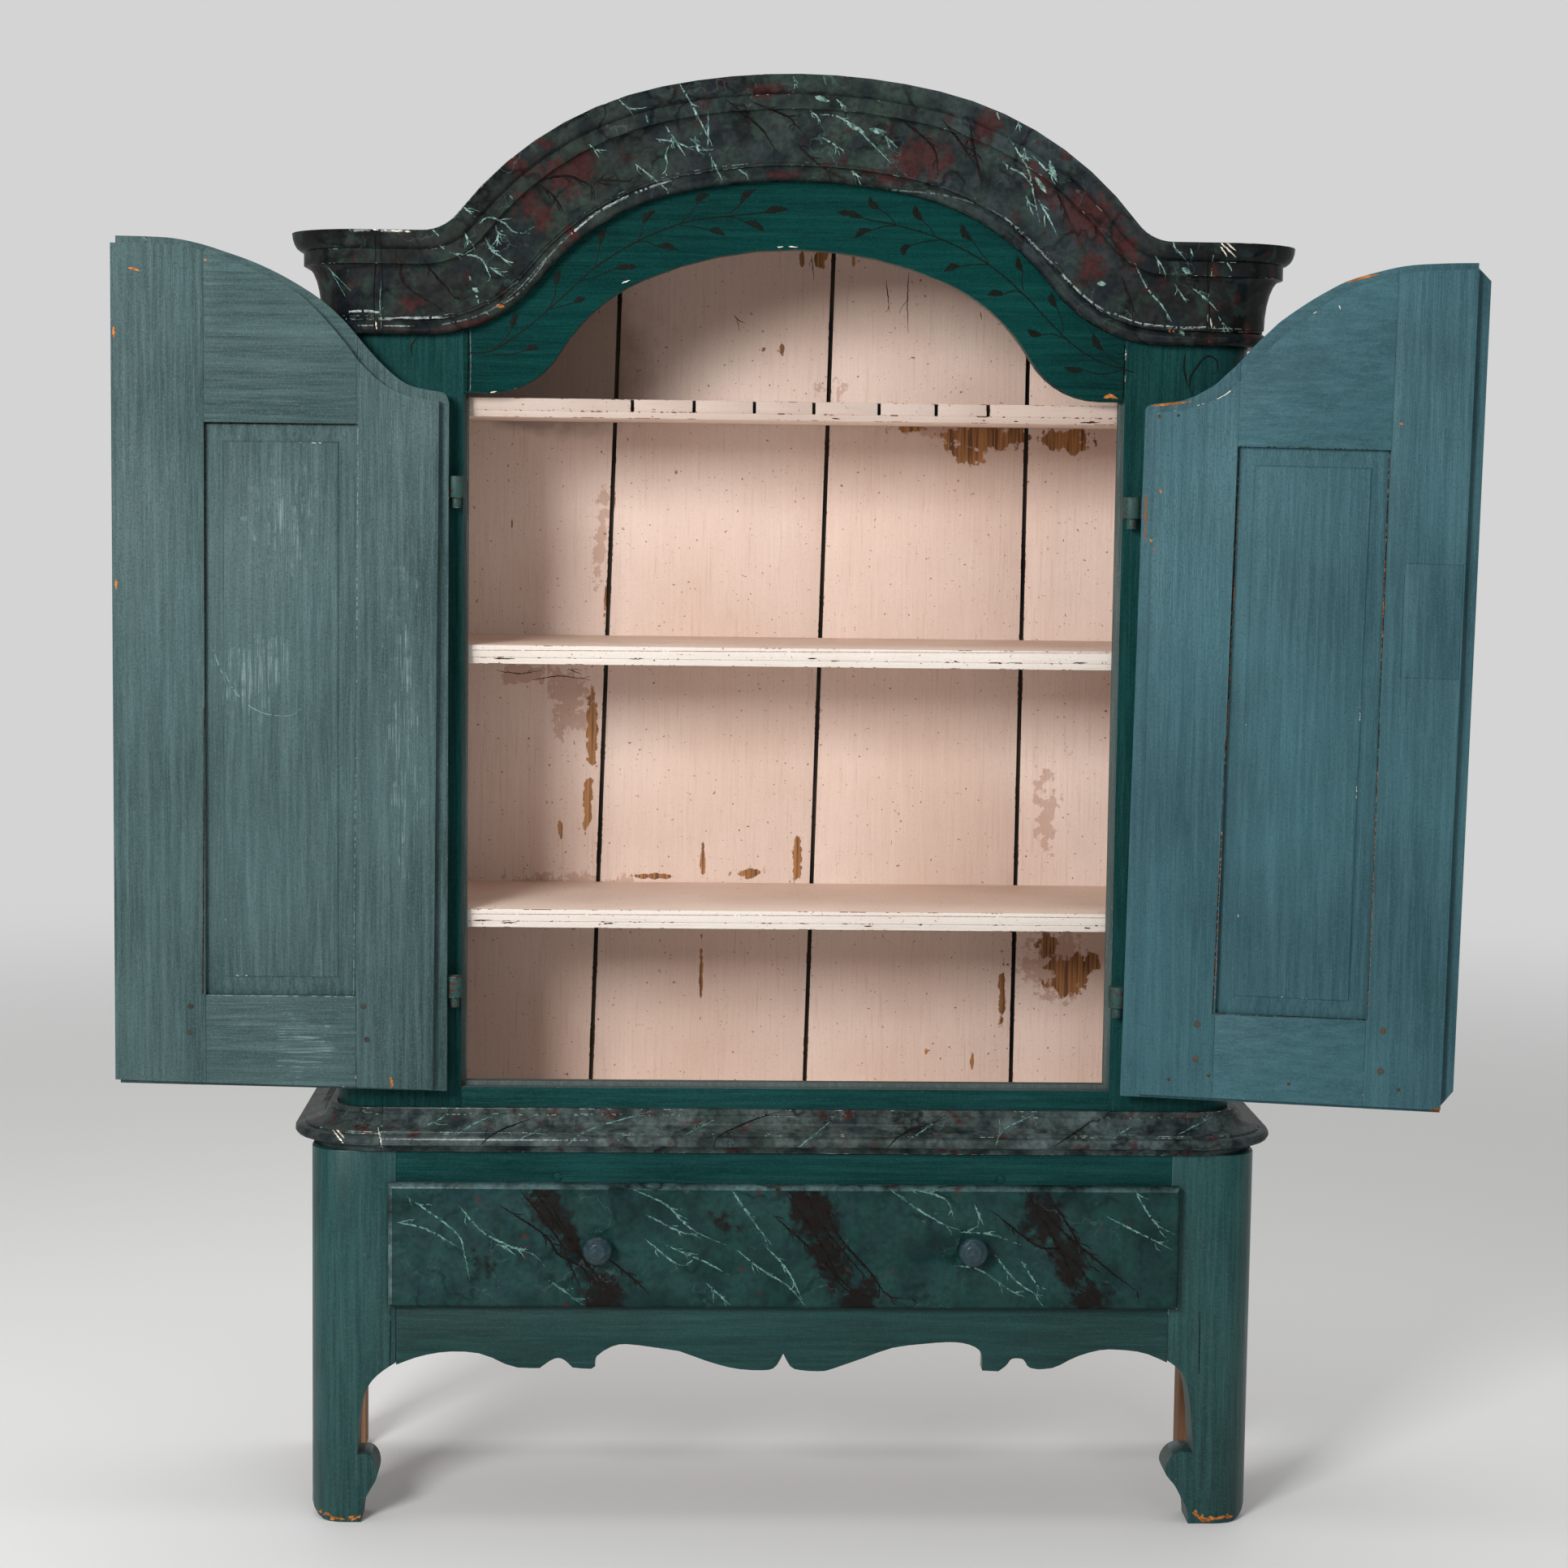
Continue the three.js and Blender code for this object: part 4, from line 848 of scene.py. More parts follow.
# Painted sheen: pale streaky patches on the left door where its paint would catch the light
LEFT_DOOR_PAINTED_SHEEN = spots(
    0.0,
    ((375, 1282), 60, 60, 0.0, 0.95), ((355, 640), 70, 130, 0.0, 0.6), ((320, 830), 70, 80, 0.6, 0.85),
    ((500, 900), 40, 320, 0.0, 0.6),
)
LEFT_DOOR_WORN = spots(
    0.0,
    ((300, 1336), 260, 9, 0.0, 0.9), ((139, 560), 9, 300, 0.0, 0.75), ((140, 1200), 8, 160, 0.0, 0.7),
)
RIGHT_DOOR_WORN = (
    Spot((1420, 500), -160.0, 22, 8, 0.0, 0.95),
    Spot((1428, 640), -160.0, 5, 60, 0.0, 0.9),
    Spot((1770, 1366), -100.0, 26, 12, 0.0, 0.95),
)

CORNICE_AQUA = (
    ((570, 254.5), (578, 261), (586, 268)),
    ((591, 275.5), (597.5, 269), (605.5, 268), (622.5, 275.5), (628, 282), (638, 287), (653, 287)),
    ((611, 278), (613, 286), (624, 291)), ((628, 240), (633, 247)),
    ((597.6, 292.6), (603, 303), (609.4, 311), (618.6, 317.5), (630, 328)), ((614.6, 285), (612, 303)),
    ((554, 311), (567, 313.6), (583, 315), (593.6, 320), (600, 332), (604, 342.5), (597.6, 348)),
    ((604, 329), (618.6, 340)), ((572.6, 287), (576.6, 298), (574, 306)), ((578, 340), (580.5, 346)),
    ((587, 363.5), (590, 374)), ((597.6, 383), (603, 388)), ((533, 283), (541, 291)),
    ((541, 302), (548, 307)), ((836, 101), (851.5, 127), (865.5, 155), (878, 180)),
    ((872.5, 136), (872.5, 160), (872, 185)), ((874, 188.5), (883, 208), (890, 222)),
    ((808, 171), (830.5, 174.5), (855, 185)), ((850, 170), (862, 180), (874, 188)),
    ((856, 168), (860, 184), (868, 194)), ((818, 152), (830.5, 171), (844.5, 192)),
    ((823.5, 180), (820, 192), (822, 202), (818, 216)),
    ((781.5, 201), (802.5, 218), (822, 234), (822, 239)), ((795.5, 141), (799, 152)),
    ((762, 122), (773, 132), (785, 136)), ((725.5, 178), (741, 188.5)), ((909, 208), (921.5, 216.5)),
    ((977.5, 94), (983, 108)), ((1014, 92), (1018, 104.5)), ((1030, 122), (1044, 134)),
    ((997, 134), (1009, 146.5), (1011, 155)),
    ((1005.5, 141), (1030, 143), (1054.5, 157), (1068.5, 171), (1086, 188.5), (1098, 201)),
    ((1086, 164), (1107, 183)), ((1012.5, 169), (1030, 180), (1035, 192)), ((1046, 208), (1061.5, 220)),
    ((1228, 138), (1232.5, 149)), ((1253, 143), (1257.5, 163)),
    ((1242, 168), (1254, 187), (1267, 210), (1273, 237), (1281, 274)),
    ((1235.6, 199), (1245, 207), (1260.6, 215), (1273, 230.6)), ((1262, 182), (1265, 196)),
    ((1270, 190), (1295, 215), (1303, 224)), ((1279, 246), (1292, 268), (1304, 293)),
    ((1264, 240), (1273, 265)), ((1253, 279), (1260.6, 290)),
    ((1398, 324), (1414, 356), (1432.5, 377.5), (1448, 405.6)), ((1423, 315), (1435.6, 334)),
    ((1445, 298), (1451, 313)), ((1467, 306), (1470, 316)), ((1446.6, 349), (1462, 373)),
    ((1470, 355.6), (1482.5, 365), (1501, 384)), ((1512, 323), (1518, 334)), ((1501, 390), (1517, 413)),
)
CORNICE_AQUA_BLOBS = (
    ((604, 302), (610, 313)), ((582, 355), (590, 359)), ((1004, 119), (1022, 125)),
    ((1044, 152), (1065, 163)), ((1071, 159), (1092, 163)), ((1293, 198), (1301, 222)),
    ((1276, 218), (1289, 238)), ((1457, 330), (1467, 338)), ((1452, 407), (1460, 413)),
    ((1352, 349), (1363, 350)),
)
CORNICE_THIN = (
    ((399, 324), (414, 340), (432, 358)), ((407, 332), (426, 366)), ((470, 346), (468, 372), (470, 404)),
)
CORNICE_BLACK = (
    ((486, 311), (494, 324), (494, 342), (507, 358), (528, 371), (559.5, 392)),
    ((520, 316), (533, 335), (549, 353), (559.5, 366), (570, 371)),
    ((667, 222), (696, 216.5), (717, 223), (730, 232), (733, 248)), ((730, 230), (740.6, 222), (780, 224)),
    ((664.5, 227), (683, 243), (696, 264)), ((893.5, 122), (911, 136), (939, 160), (960, 192)),
    ((925, 125), (974, 146), (977, 164)), ((981, 176), (998.5, 194), (1026.5, 216.5)),
    ((1110, 146), (1149, 181), (1156, 216)), ((1194.5, 150), (1201.5, 192), (1212, 234)),
    ((1160, 146), (1180, 171), (1195, 193), (1210, 215)), ((1195, 165), (1210, 224)),
    ((1382, 340), (1401, 393)), ((1301, 234), (1320, 277)),
)
# Painted highlights: light lines and glints along the cornice's lower bead and at its left end, where the
# gloss would catch the key light
CORNICE_PAINTED_HIGHLIGHTS = (
    ((430, 384), (450, 383), (468, 385)), ((426, 393), (460, 393), (500, 392), (545, 391)),
    ((704, 288), (733, 264), (767, 245), (800, 231), (827, 222)),
    ((1370, 385), (1395, 396), (1420, 401), (1460, 404), (1497, 403)),
    ((1238, 268), (1262, 290), (1290, 318), (1320, 350), (1345, 372), (1368, 386)),
)
# Rubbed paint along the cornice's lower bead, lightened so that it is also a painted highlight line that
# joins the highlights above
CORNICE_RUBBED_AND_HIGHLIGHT = (
    ((704, 288), (690, 300), (672, 322), (655, 344), (636, 364), (610, 379), (580, 392), (545, 400)),
    ((1060, 231), (1110, 235), (1160, 240), (1205, 252), (1238, 268)),
)
CORNICE_CHIPS = (
    ((1501, 297), (1512, 306), (1523, 317)), ((1504, 304), (1512, 316)), ((1511, 299), (1523, 309)),
    ((1491, 392), (1493, 404)), ((463, 396), (464, 406)),
)
CORNICE_JOINTS = (
    ((1489, 312), (1488, 345), (1490, 380), (1492, 412)), ((462, 290), (463, 320), (461, 360), (462, 412)),
)
CORNICE_TOP_EDGE = (
    ((548, 275), (571, 252), (597, 222), (636, 187), (674, 161), (711, 137), (791, 111), (868, 95)),
    ((944, 91), (1021, 92), (1097, 97), (1200, 121), (1276, 155), (1334, 195), (1410, 271), (1498, 295)),
    ((372, 281), (414, 280), (456, 282), (502, 285)),
)
ORANGE_CHIPS = (((612, 376), (622, 378)), ((1440, 407), (1447, 409)))
WAIST_AQUA = (
    ((562, 1415), (566, 1396), (608, 1373)), ((699, 1411), (726, 1392), (802, 1369)),
    ((982, 1415), (1016, 1388), (1031, 1373)), ((1226, 1415), (1237, 1392), (1275, 1373)),
    ((520, 1390), (548, 1376)), ((845, 1398), (880, 1380)), ((1120, 1404), (1150, 1385)),
    ((1370, 1404), (1400, 1384)), ((1452, 1398), (1490, 1378)), ((640, 1404), (668, 1390)),
)
WAIST_BLACK = (
    ((879, 1415), (886, 1400), (928, 1380), (963, 1369)), ((1092, 1415), (1115, 1396), (1169, 1377)),
    ((590, 1412), (612, 1395), (660, 1376)), ((1300, 1412), (1330, 1392), (1352, 1376)),
)
WAIST_WHITE = (
    ((410, 1392), (416, 1400), (425, 1411)), ((414, 1391), (424, 1402)),
    ((466, 1389), (468, 1400), (471, 1414)),
)
DRAWER_AQUA = (
    ((501, 1474), (532.5, 1496), (564, 1521), (573, 1549), (579, 1577.5)),
    ((489, 1505.6), (526, 1515), (570, 1540)),
    ((564, 1484), (595, 1518), (632.5, 1537), (657.5, 1546), (673, 1562)), ((611, 1534), (651, 1540)),
    ((776, 1464), (820, 1484), (845, 1509), (870, 1524), (895, 1534)),
    ((795, 1496), (839, 1518), (864, 1521)), ((795, 1527), (832, 1556), (851, 1559)),
    ((820, 1534), (870, 1555.6), (898, 1571)), ((901, 1465), (926, 1502), (951, 1534)),
    ((907.5, 1540), (939, 1565), (970, 1584), (995, 1612)), ((942, 1534), (970, 1565), (989, 1602.5)),
    ((870, 1581), (901, 1609)), ((1095, 1464), (1126, 1487), (1164, 1509), (1182.5, 1515)),
    ((1120, 1464), (1164, 1477.5), (1176, 1502.5)), ((1182.5, 1518), (1220, 1521), (1257.5, 1534)),
    ((1201, 1484), (1211, 1509)), ((1226, 1546), (1251, 1577.5), (1282.5, 1599)),
    ((1176, 1559), (1207, 1565), (1245, 1590), (1264, 1599)), ((1257, 1552), (1282, 1590)),
    ((1398, 1465), (1407.5, 1484), (1426, 1509), (1448, 1521)), ((1364, 1499), (1395, 1515), (1445, 1540)),
    ((676, 1577.5), (720, 1609)),
)
DRAWER_BLACK = (
    ((640, 1466), (668, 1500), (690, 1530), (704, 1562), (722, 1600)),
    ((656, 1464), (690, 1512), (716, 1548), (742, 1580), (760, 1600)),
    ((676, 1480), (706, 1530), (734, 1562)),
    ((966, 1468), (990, 1500), (1018, 1544), (1034, 1580), (1056, 1600)),
    ((990, 1464), (1010, 1506), (1044, 1548), (1076, 1584)),
    ((1262, 1464), (1290, 1512), (1314, 1556), (1330, 1596)), ((1290, 1470), (1322, 1520), (1346, 1566)),
    ((614, 1484), (670, 1521), (689, 1546), (720, 1565), (732, 1602)),
    ((751, 1552), (782, 1577), (801, 1596)),
    ((1014, 1477), (1032, 1521), (1070, 1565), (1095, 1596), (1132, 1601)),
    ((951, 1496), (1007, 1546), (1051, 1590), (1082, 1599)),
    ((1220, 1490), (1276, 1534), (1307, 1540), (1332, 1565), (1351, 1599)),
    ((1282, 1484), (1307, 1515), (1360, 1560), (1407, 1596)),
)
VINE_STEMS = (
    (
        (575, 435.3), (606, 431.9), (644, 407.8), (688.8, 369.8), (730, 331.9),
        (781.9, 299.1), (830, 278.4), (871.6, 269.1), (941, 262.2),
    ),
    (
        (1397, 459), (1381.7, 454), (1350.7, 443.6), (1319.7, 422.9), (1288.6, 391.9),
        (1261, 362.6), (1216.2, 324.7), (1161, 295.3), (1112.8, 279.8), (1064.5, 269.5),
    ),
)
VINE_TWIGS = (
    ((897.4, 263), (905, 258), (911.2, 252.6)), ((838.8, 274.5), (850, 264), (857.8, 252.6)),
    ((785.3, 297.4), (789.5, 288), (792.2, 276.7)), ((733.5, 327), (736.5, 315), (738.8, 300.9)),
    ((677, 379), (683, 366), (684.7, 352.6)), ((606, 431.9), (620, 420), (630.2, 406)),
    ((895, 267), (907, 268), (916.4, 273.3)), ((837, 278), (857, 279.5), (873.3, 283.6)),
    ((779, 299.5), (795, 297.5), (809.5, 303.6)), ((716, 345.7), (738, 340), (756, 331.2)),
    ((673, 382), (690, 378), (706, 373.3)), ((606, 437), (627, 437), (647.4, 431.9)),
    ((1105, 278), (1096, 267), (1083.4, 257.4)), ((1152, 291), (1146, 281), (1136.9, 272.2)),
    ((1218, 324), (1206, 308), (1198.3, 297.1)), ((1261, 358), (1259, 346), (1260.3, 335)),
    ((1310, 410), (1308, 394), (1302.4, 379.8)), ((1381, 450), (1368, 441.9), (1359.3, 432.2)),
    ((1104, 278.5), (1090, 279), (1074.8, 283.3)), ((1160, 296), (1140, 297.5), (1123.1, 302.2)),
    ((1218, 326), (1200, 326), (1183.4, 328.1)), ((1260, 362), (1250, 358), (1236.9, 362.6)),
    ((1311, 417), (1298, 412), (1284.5, 412.6)), ((1385, 455.5), (1358, 461), (1335.2, 455.7)),
)
VINE_LEAVES = (
    ((940.5, 262.2), (957, 257.5), (971.6, 258.4)), ((911.2, 252.6), (919, 240), (931.9, 232.6)),
    ((857.8, 252.6), (863, 243), (875, 239.5)), ((792.2, 276.7), (797, 266), (807.8, 259.5)),
    ((738.8, 300.9), (741, 290), (747.4, 281.9)), ((684.7, 352.6), (686, 342), (690.5, 331.9)),
    ((630.2, 406), (633, 394), (638.8, 385.3)), ((916.4, 273.3), (930, 276), (942.2, 285.3)),
    ((873.3, 283.6), (884, 284.5), (894, 290.5)), ((809.5, 303.6), (822, 303), (835.3, 308.4)),
    ((756, 331.2), (771, 328.5), (785.3, 329.1)), ((706, 373.3), (714, 369), (721.6, 368.1)),
    ((647.4, 431.9), (656, 428), (664.7, 430.2)), ((1064.5, 268.8), (1047, 263), (1030, 261.9)),
    ((1083.4, 257.4), (1074, 251), (1071.4, 241.9)), ((1136.9, 272.2), (1129, 263), (1127.2, 252.2)),
    ((1198.3, 297.1), (1188, 287), (1185.2, 274.7)), ((1260.3, 335), (1255, 326), (1254.1, 315)),
    ((1302.4, 379.8), (1296, 370), (1296.2, 359.1)), ((1359.3, 432.2), (1350, 422), (1346.6, 409.1)),
    ((1074.8, 283.3), (1063, 285), (1052.4, 293.6)), ((1123.1, 302.2), (1114, 306), (1112.8, 316)),
    ((1183.4, 328.1), (1173, 329), (1162.8, 335)), ((1236.9, 362.6), (1226, 361), (1216.2, 363.3)),
    ((1284.5, 412.6), (1274, 411), (1264.5, 405.7)), ((1335.2, 455.7), (1322, 456), (1311, 452.2)),
)
SCROLLS = (
    ((1460.6, 434), (1459, 455.6), (1465, 480.6)),
    ((1467, 484), (1466, 470), (1470, 459), (1485.6, 440), (1498, 443), (1500, 455.6), (1492, 462)),
    ((513, 417), (507, 426), (508, 440)),
)
FRIEZE_JOINTS = (((577, 408), (577, 452), (576, 492)), ((1385.5, 425), (1385, 458), (1383.5, 492)))
FRIEZE_LIGHT = (((579.5, 408), (580, 452), (579, 490)),)
FRIEZE_CHIPS = (
    ((958, 304.5), (965, 304.2)), ((972, 304), (983, 304.6)), ((604, 484), (612, 482)),
    ((701, 416), (705, 420)), ((766, 349), (776, 345)), ((1387, 430), (1387, 444)),
    ((1386.5, 462), (1386, 470)),
)
FRIEZE_ORANGE = (((1360, 490), (1368, 488), (1377, 491)),)
LEFT_PANEL_LINES = (
    ((252.5, 522), (252, 880), (250, 1225)), ((253, 521.5), (345, 522), (441, 523)),
)
# Painted highlights along the right and lower edges of the left door's panel
LEFT_PANEL_SHINE = (((441, 524), (439, 880), (435.5, 1225)), ((252, 1226), (345, 1227), (435, 1228)))
RIGHT_PANEL_LINES = (
    ((1527, 550), (1512, 880), (1494, 1249)), ((1527, 550), (1620, 552), (1712, 555)),
    ((1712, 555), (1700, 880), (1684, 1257)), ((1494, 1249), (1590, 1253), (1684, 1257)),
)
LEFT_DOOR_ORANGE = (
    ((158, 330), (165, 331), (172, 334)), ((250, 320), (255, 320)), ((139.5, 402), (140, 416)),
    ((143, 714), (143, 726)), ((481, 1327), (483, 1335), (482, 1343)),
)
LEFT_DOOR_PALE = (
    ((175, 291), (181, 296), (187, 300)), ((270, 812), (288, 850), (318, 876), (356, 882), (372, 872)),
    ((262, 800), (280, 846)),
)
RIGHT_DOOR_EDGE = (
    (
        (1425, 508), (1454, 505.6), (1486, 497), (1510, 486), (1530, 468),
        (1550, 446), (1574, 420), (1606, 395), (1622, 384),
    ),
)
RIGHT_DOOR_CREAM = (
    ((1440, 507), (1450, 506)), ((1475, 500), (1484, 497)), ((1650, 376), (1652, 381)),
)
RIGHT_DOOR_ORANGE = (
    ((1419, 500), (1440, 498), (1468, 495)), ((1660, 348), (1680, 342), (1700, 338)),
    ((1429, 602), (1431, 608)), ((1417, 664), (1419, 668)), ((1422, 676), (1424, 679)),
    ((1724, 521), (1729, 523)),
)
RIGHT_PANEL_ORANGE = (
    ((1712, 560), (1706, 720), (1700, 880), (1693, 1060), (1686, 1240)),
    ((1709, 640), (1704, 760), (1701, 860)),
    ((1526, 620), (1519, 760), (1512, 900), (1504, 1060), (1497, 1230)),
)
LEFT_DOOR_PEGS = ((235, 1240), (234, 1272), (448, 1240), (452, 1281))
RIGHT_DOOR_PEGS = ((1475, 1262), (1473, 1305), (1704, 1270), (1701, 1320))
RIGHT_DOOR_NAILS = ((1440, 1330), (1489, 1325), (1588, 1336), (1723, 1343), (1428, 513), (1452, 512))
BASE_PEGS = ((450, 1549), (478, 1624), (1487, 1526), (1515, 1572))
BASE_JOINTS = (((481, 1612), (481, 1650), (480, 1686)), ((1478, 1616), (1478, 1650), (1477, 1692)))
FOOT_WORN = (
    ((386, 1852), (400, 1866), (422, 1873), (440, 1868)), ((1470, 1862), (1488, 1872), (1512, 1868)),
)
SHELF_EDGES = (
    ((582, 812), (760, 813), (950, 814), (1150, 815), (1368, 816)),
    ((580, 1137), (760, 1138), (950, 1139), (1150, 1140), (1362, 1142)),
    ((585, 517), (760, 518), (950, 518), (1150, 519), (1375, 519)),
)
# Painted shade: a faint darker line along the bead of each shelf, where the top meets the front edge
SHELF_BEADS = (
    ((582, 801), (760, 802), (950, 803), (1150, 804), (1368, 805)),
    ((580, 1126), (760, 1127), (950, 1128), (1150, 1129), (1362, 1131)),
)
BOARD_SCRATCHES = (
    ((612, 826), (640, 830), (668, 826)), ((655, 838), (690, 833), (728, 838)), ((700, 824), (716, 831)),
    ((1120, 335), (1118, 370), (1119, 410)), ((1092, 345), (1096, 385)),
    ((905, 388), (910, 395), (918, 398)), ((1000, 315), (1003, 345)), ((1208, 385), (1210, 394)),
)


class Shape(Enum):
    """How wide a stroke is along its length, as shares of its width."""

    VEIN = ((0.0, 0.15), (0.15, 0.8), (0.5, 1.0), (0.8, 0.6), (1.0, 0.05))
    LEAF = ((0.0, 0.08), (0.2, 0.6), (0.45, 1.0), (0.75, 0.7), (1.0, 0.0))
    EVEN = ((0.0, 0.8), (0.5, 1.0), (1.0, 0.8))
    BLOB = ((0.0, 0.3), (0.25, 0.95), (0.6, 1.0), (1.0, 0.2))

    def at(self, share: float) -> float:
        """Works out how wide the stroke is at a place.

        Args:
            share: How far along the stroke the place is, from zero to one.

        Returns:
            The share of its full width.
        """
        for (low, first), (high, second) in zip(self.value, self.value[1:]):
            if share <= high:
                return first + (second - first) * (share - low) / (high - low)
        return self.value[-1][1]


@dataclass(frozen=True)
class Strokes:
    """Brush strokes of one paint on one moving body, given by their paths in the photograph."""

    name: str
    paint: str
    slot: str
    body: str
    carriers: tuple[str, ...]
    paths: tuple[Path, ...]
    width: float
    shape: Shape = Shape.VEIN
    wobble: float = 0.5
    twigs: int = 0
    broken: float = 0.0


def smooth_path(path: Path, step: float) -> list[Vector]:
    """A curve through a path's points.

    Args:
        path: The points.
        step: How far apart the curve's own points are, in pixels.

    Returns:
        The curve's points.
    """
    knots = [Vector(point) for point in path]
    knots = [2 * knots[0] - knots[1], *knots, 2 * knots[-1] - knots[-2]]
    made = []
    for before, start, end, after in zip(knots, knots[1:], knots[2:], knots[3:]):
        count = max(1, round((end - start).length / step))
        for index in range(count):
            t = index / count
            spread = 2 * start + (end - before) * t
            spread += (2 * before - 5 * start + 4 * end - after) * t**2
            spread += (3 * start - before - 3 * end + after) * t**3
            made.append(spread / 2)
    made.append(knots[-2])
    return made


CHIP_SHORTEST = 1.2
CHIP_BEND = 0.5


def chips_along(
    paths: Sequence[Path], count: int, length: float, spread: float, seed: int
) -> tuple[Path, ...]:
    """Scatters short strokes along some lines, as where an edge has lost its paint.

    Args:
        paths: The lines.
        count: How many strokes each line has.
        length: The length of the longest.
        spread: How far off the line they lie.
        seed: What fixes the scatter on the first line. Each further line has the next number.

    Returns:
        The strokes' paths.
    """
    made = []
    for further, path in enumerate(paths):
        dice = random.Random(seed + further)
        line = smooth_path(path, 1.0)
        for _ in range(count):
            index = dice.randrange(len(line) - 1)
            way = (line[index + 1] - line[index]).normalized()
            start = line[index] + Vector((-way.y, way.x)) * dice.uniform(-spread, spread)
            reach = max(length * dice.uniform(0.25, 1.0) ** 2, CHIP_SHORTEST)
            bend = Vector([dice.uniform(-CHIP_BEND, CHIP_BEND) for _ in range(2)])
            made.append((tuple(start), tuple(start + way * reach + bend)))
    return tuple(made)


@dataclass
class Painter:
    """Lays strokes of paint on the pieces where the photograph shows them, as thin closed ribbons.

    Widths and reaches are in the photograph's pixels, and angles in radians.
    """

    finishes: "Finishes"
    pieces: dict[str, bpy.types.Object]
    step: float = 1.6
    rise_mm: float = 0.22
    edge_rise_mm: float = 0.07
    root_mm: float = 0.35
    slip_mm: float = 9.0
    slip_per_width: float = 3.0
    least_half_width: float = 0.25
    width_shares: tuple[float, float] = (0.7, 1.2)
    sway: float = 0.4
    twig_step: float = 4.0
    twig_turn: tuple[float, float] = (0.25, 0.7)
    twig_reach: tuple[float, float] = (7, 20)
    twig_bend: float = 2
    twig_width: float = 0.55
    surfaces: dict[str, BVHTree] = field(default_factory=dict)

    def surface(self, name: str) -> BVHTree:
        """Finds the search tree of a piece, and makes it the first time.

        Args:
            name: The piece's node.

        Returns:
            The search tree.
        """
        if name not in self.surfaces:
            mesh = self.pieces[name].data
            places = [vertex.co for vertex in mesh.vertices]
            faces = [tuple(face.vertices) for face in mesh.polygons]
            self.surfaces[name] = BVHTree.FromPolygons(places, faces)
        return self.surfaces[name]

    def touch(self, pixel: Pixel, carriers: Sequence[str]) -> Hit | None:
        """Finds where the camera's ray through a pixel first meets the pieces.

        Args:
            pixel: The place in the photograph.
            carriers: The pieces that it may meet.

        Returns:
            The place and the way out of the surface, or nothing where the ray misses.
        """
        start = at(*CAMERA.place_mm)
        way = CAMERA.ray(pixel)
        met = [self.surface(name).ray_cast(start, way) for name in carriers]
        met = [hit for hit in met if hit[0] is not None]
        if not met:
            return None
        place, normal, _, _ = min(met, key=lambda hit: hit[3])
        return place, normal if normal.dot(way) < 0 else -normal

    def ring(self, hits: Sequence[Hit]) -> list[Vector]:
        """Makes one cross-section of a ribbon.

        Args:
            hits: The surface at the ribbon's left edge, its middle and its right edge.

        Returns:
            The left edge, the crown, the right edge and the root under the surface.
        """
        (left, left_out), (crown, out), (right, right_out) = hits
        low, high, root = self.edge_rise_mm * MM, self.rise_mm * MM, self.root_mm * MM
        return [left + left_out * low, crown + out * high, right + right_out * low, crown - out * root]

    def rings(self, strokes: Strokes, path: Path, dice: random.Random) -> list[list[list[Vector]]]:
        """Makes the cross-sections of one stroke.

        Args:
            strokes: The stroke's paint, width and shape.
            path: Where it runs.
            dice: What makes it uneven.

        Returns:
            The cross-sections, in runs that break where the surface does.
        """
        line = smooth_path(path, self.step)
        last = len(line) - 1
        slip = self.slip_mm * MM
        runs: list[list[list[Vector]]] = [[]]
        for index, point in enumerate(line):
            ahead = line[min(index + 1, last)] - line[max(index - 1, 0)]
            across = Vector((-ahead.y, ahead.x)).normalized()
            wide = strokes.width / 2 * strokes.shape.at(index / max(1, last))
            wide = max(self.least_half_width, wide * dice.uniform(*self.width_shares))
            middle = point + across * dice.uniform(-self.sway, self.sway) * strokes.wobble
            hits = [self.touch(tuple(middle + across * side * wide), strokes.carriers) for side in (-1, 0, 1)]
            lifted = strokes.broken > 0 and dice.random() < strokes.broken
            reach = slip + self.slip_per_width * wide * MM
            if lifted or None in hits or (hits[0][0] - hits[2][0]).length > reach:
                runs.append([])
                continue
            if runs[-1] and (runs[-1][-1][3] - hits[1][0]).length > slip:
                runs.append([])
            runs[-1].append(self.ring(hits))
        return [run for run in runs if len(run) > 1]

    def with_twigs(self, strokes: Strokes, dice: random.Random) -> list[tuple[Path, float]]:
        """Adds the short side strokes that feather from each path.

        Args:
            strokes: The paths, and how many side strokes each has.
            dice: What scatters them.

        Returns:
            Every path with the share of the width that it has.
        """
        made: list[tuple[Path, float]] = [(path, 1.0) for path in strokes.paths]
        for path in strokes.paths:
            line = smooth_path(path, self.twig_step)
            if len(line) < 5:
                continue
            for _ in range(strokes.twigs):
                index = dice.randrange(1, len(line) - 2)
                start = line[index]
                way = (line[index + 1] - start).normalized()
                turn = dice.choice((-1, 1)) * dice.uniform(*self.twig_turn)
                cosine, sine = math.cos(turn), math.sin(turn)
                turned = Vector((way.x * cosine - way.y * sine, way.x * sine + way.y * cosine))
                reach = dice.uniform(*self.twig_reach)
                bend = Vector([dice.uniform(-self.twig_bend, self.twig_bend) for _ in range(2)])
                points = (start, start + turned * reach / 2 + bend, start + turned * reach)
                made.append((tuple(tuple(point) for point in points), self.twig_width))
        return made

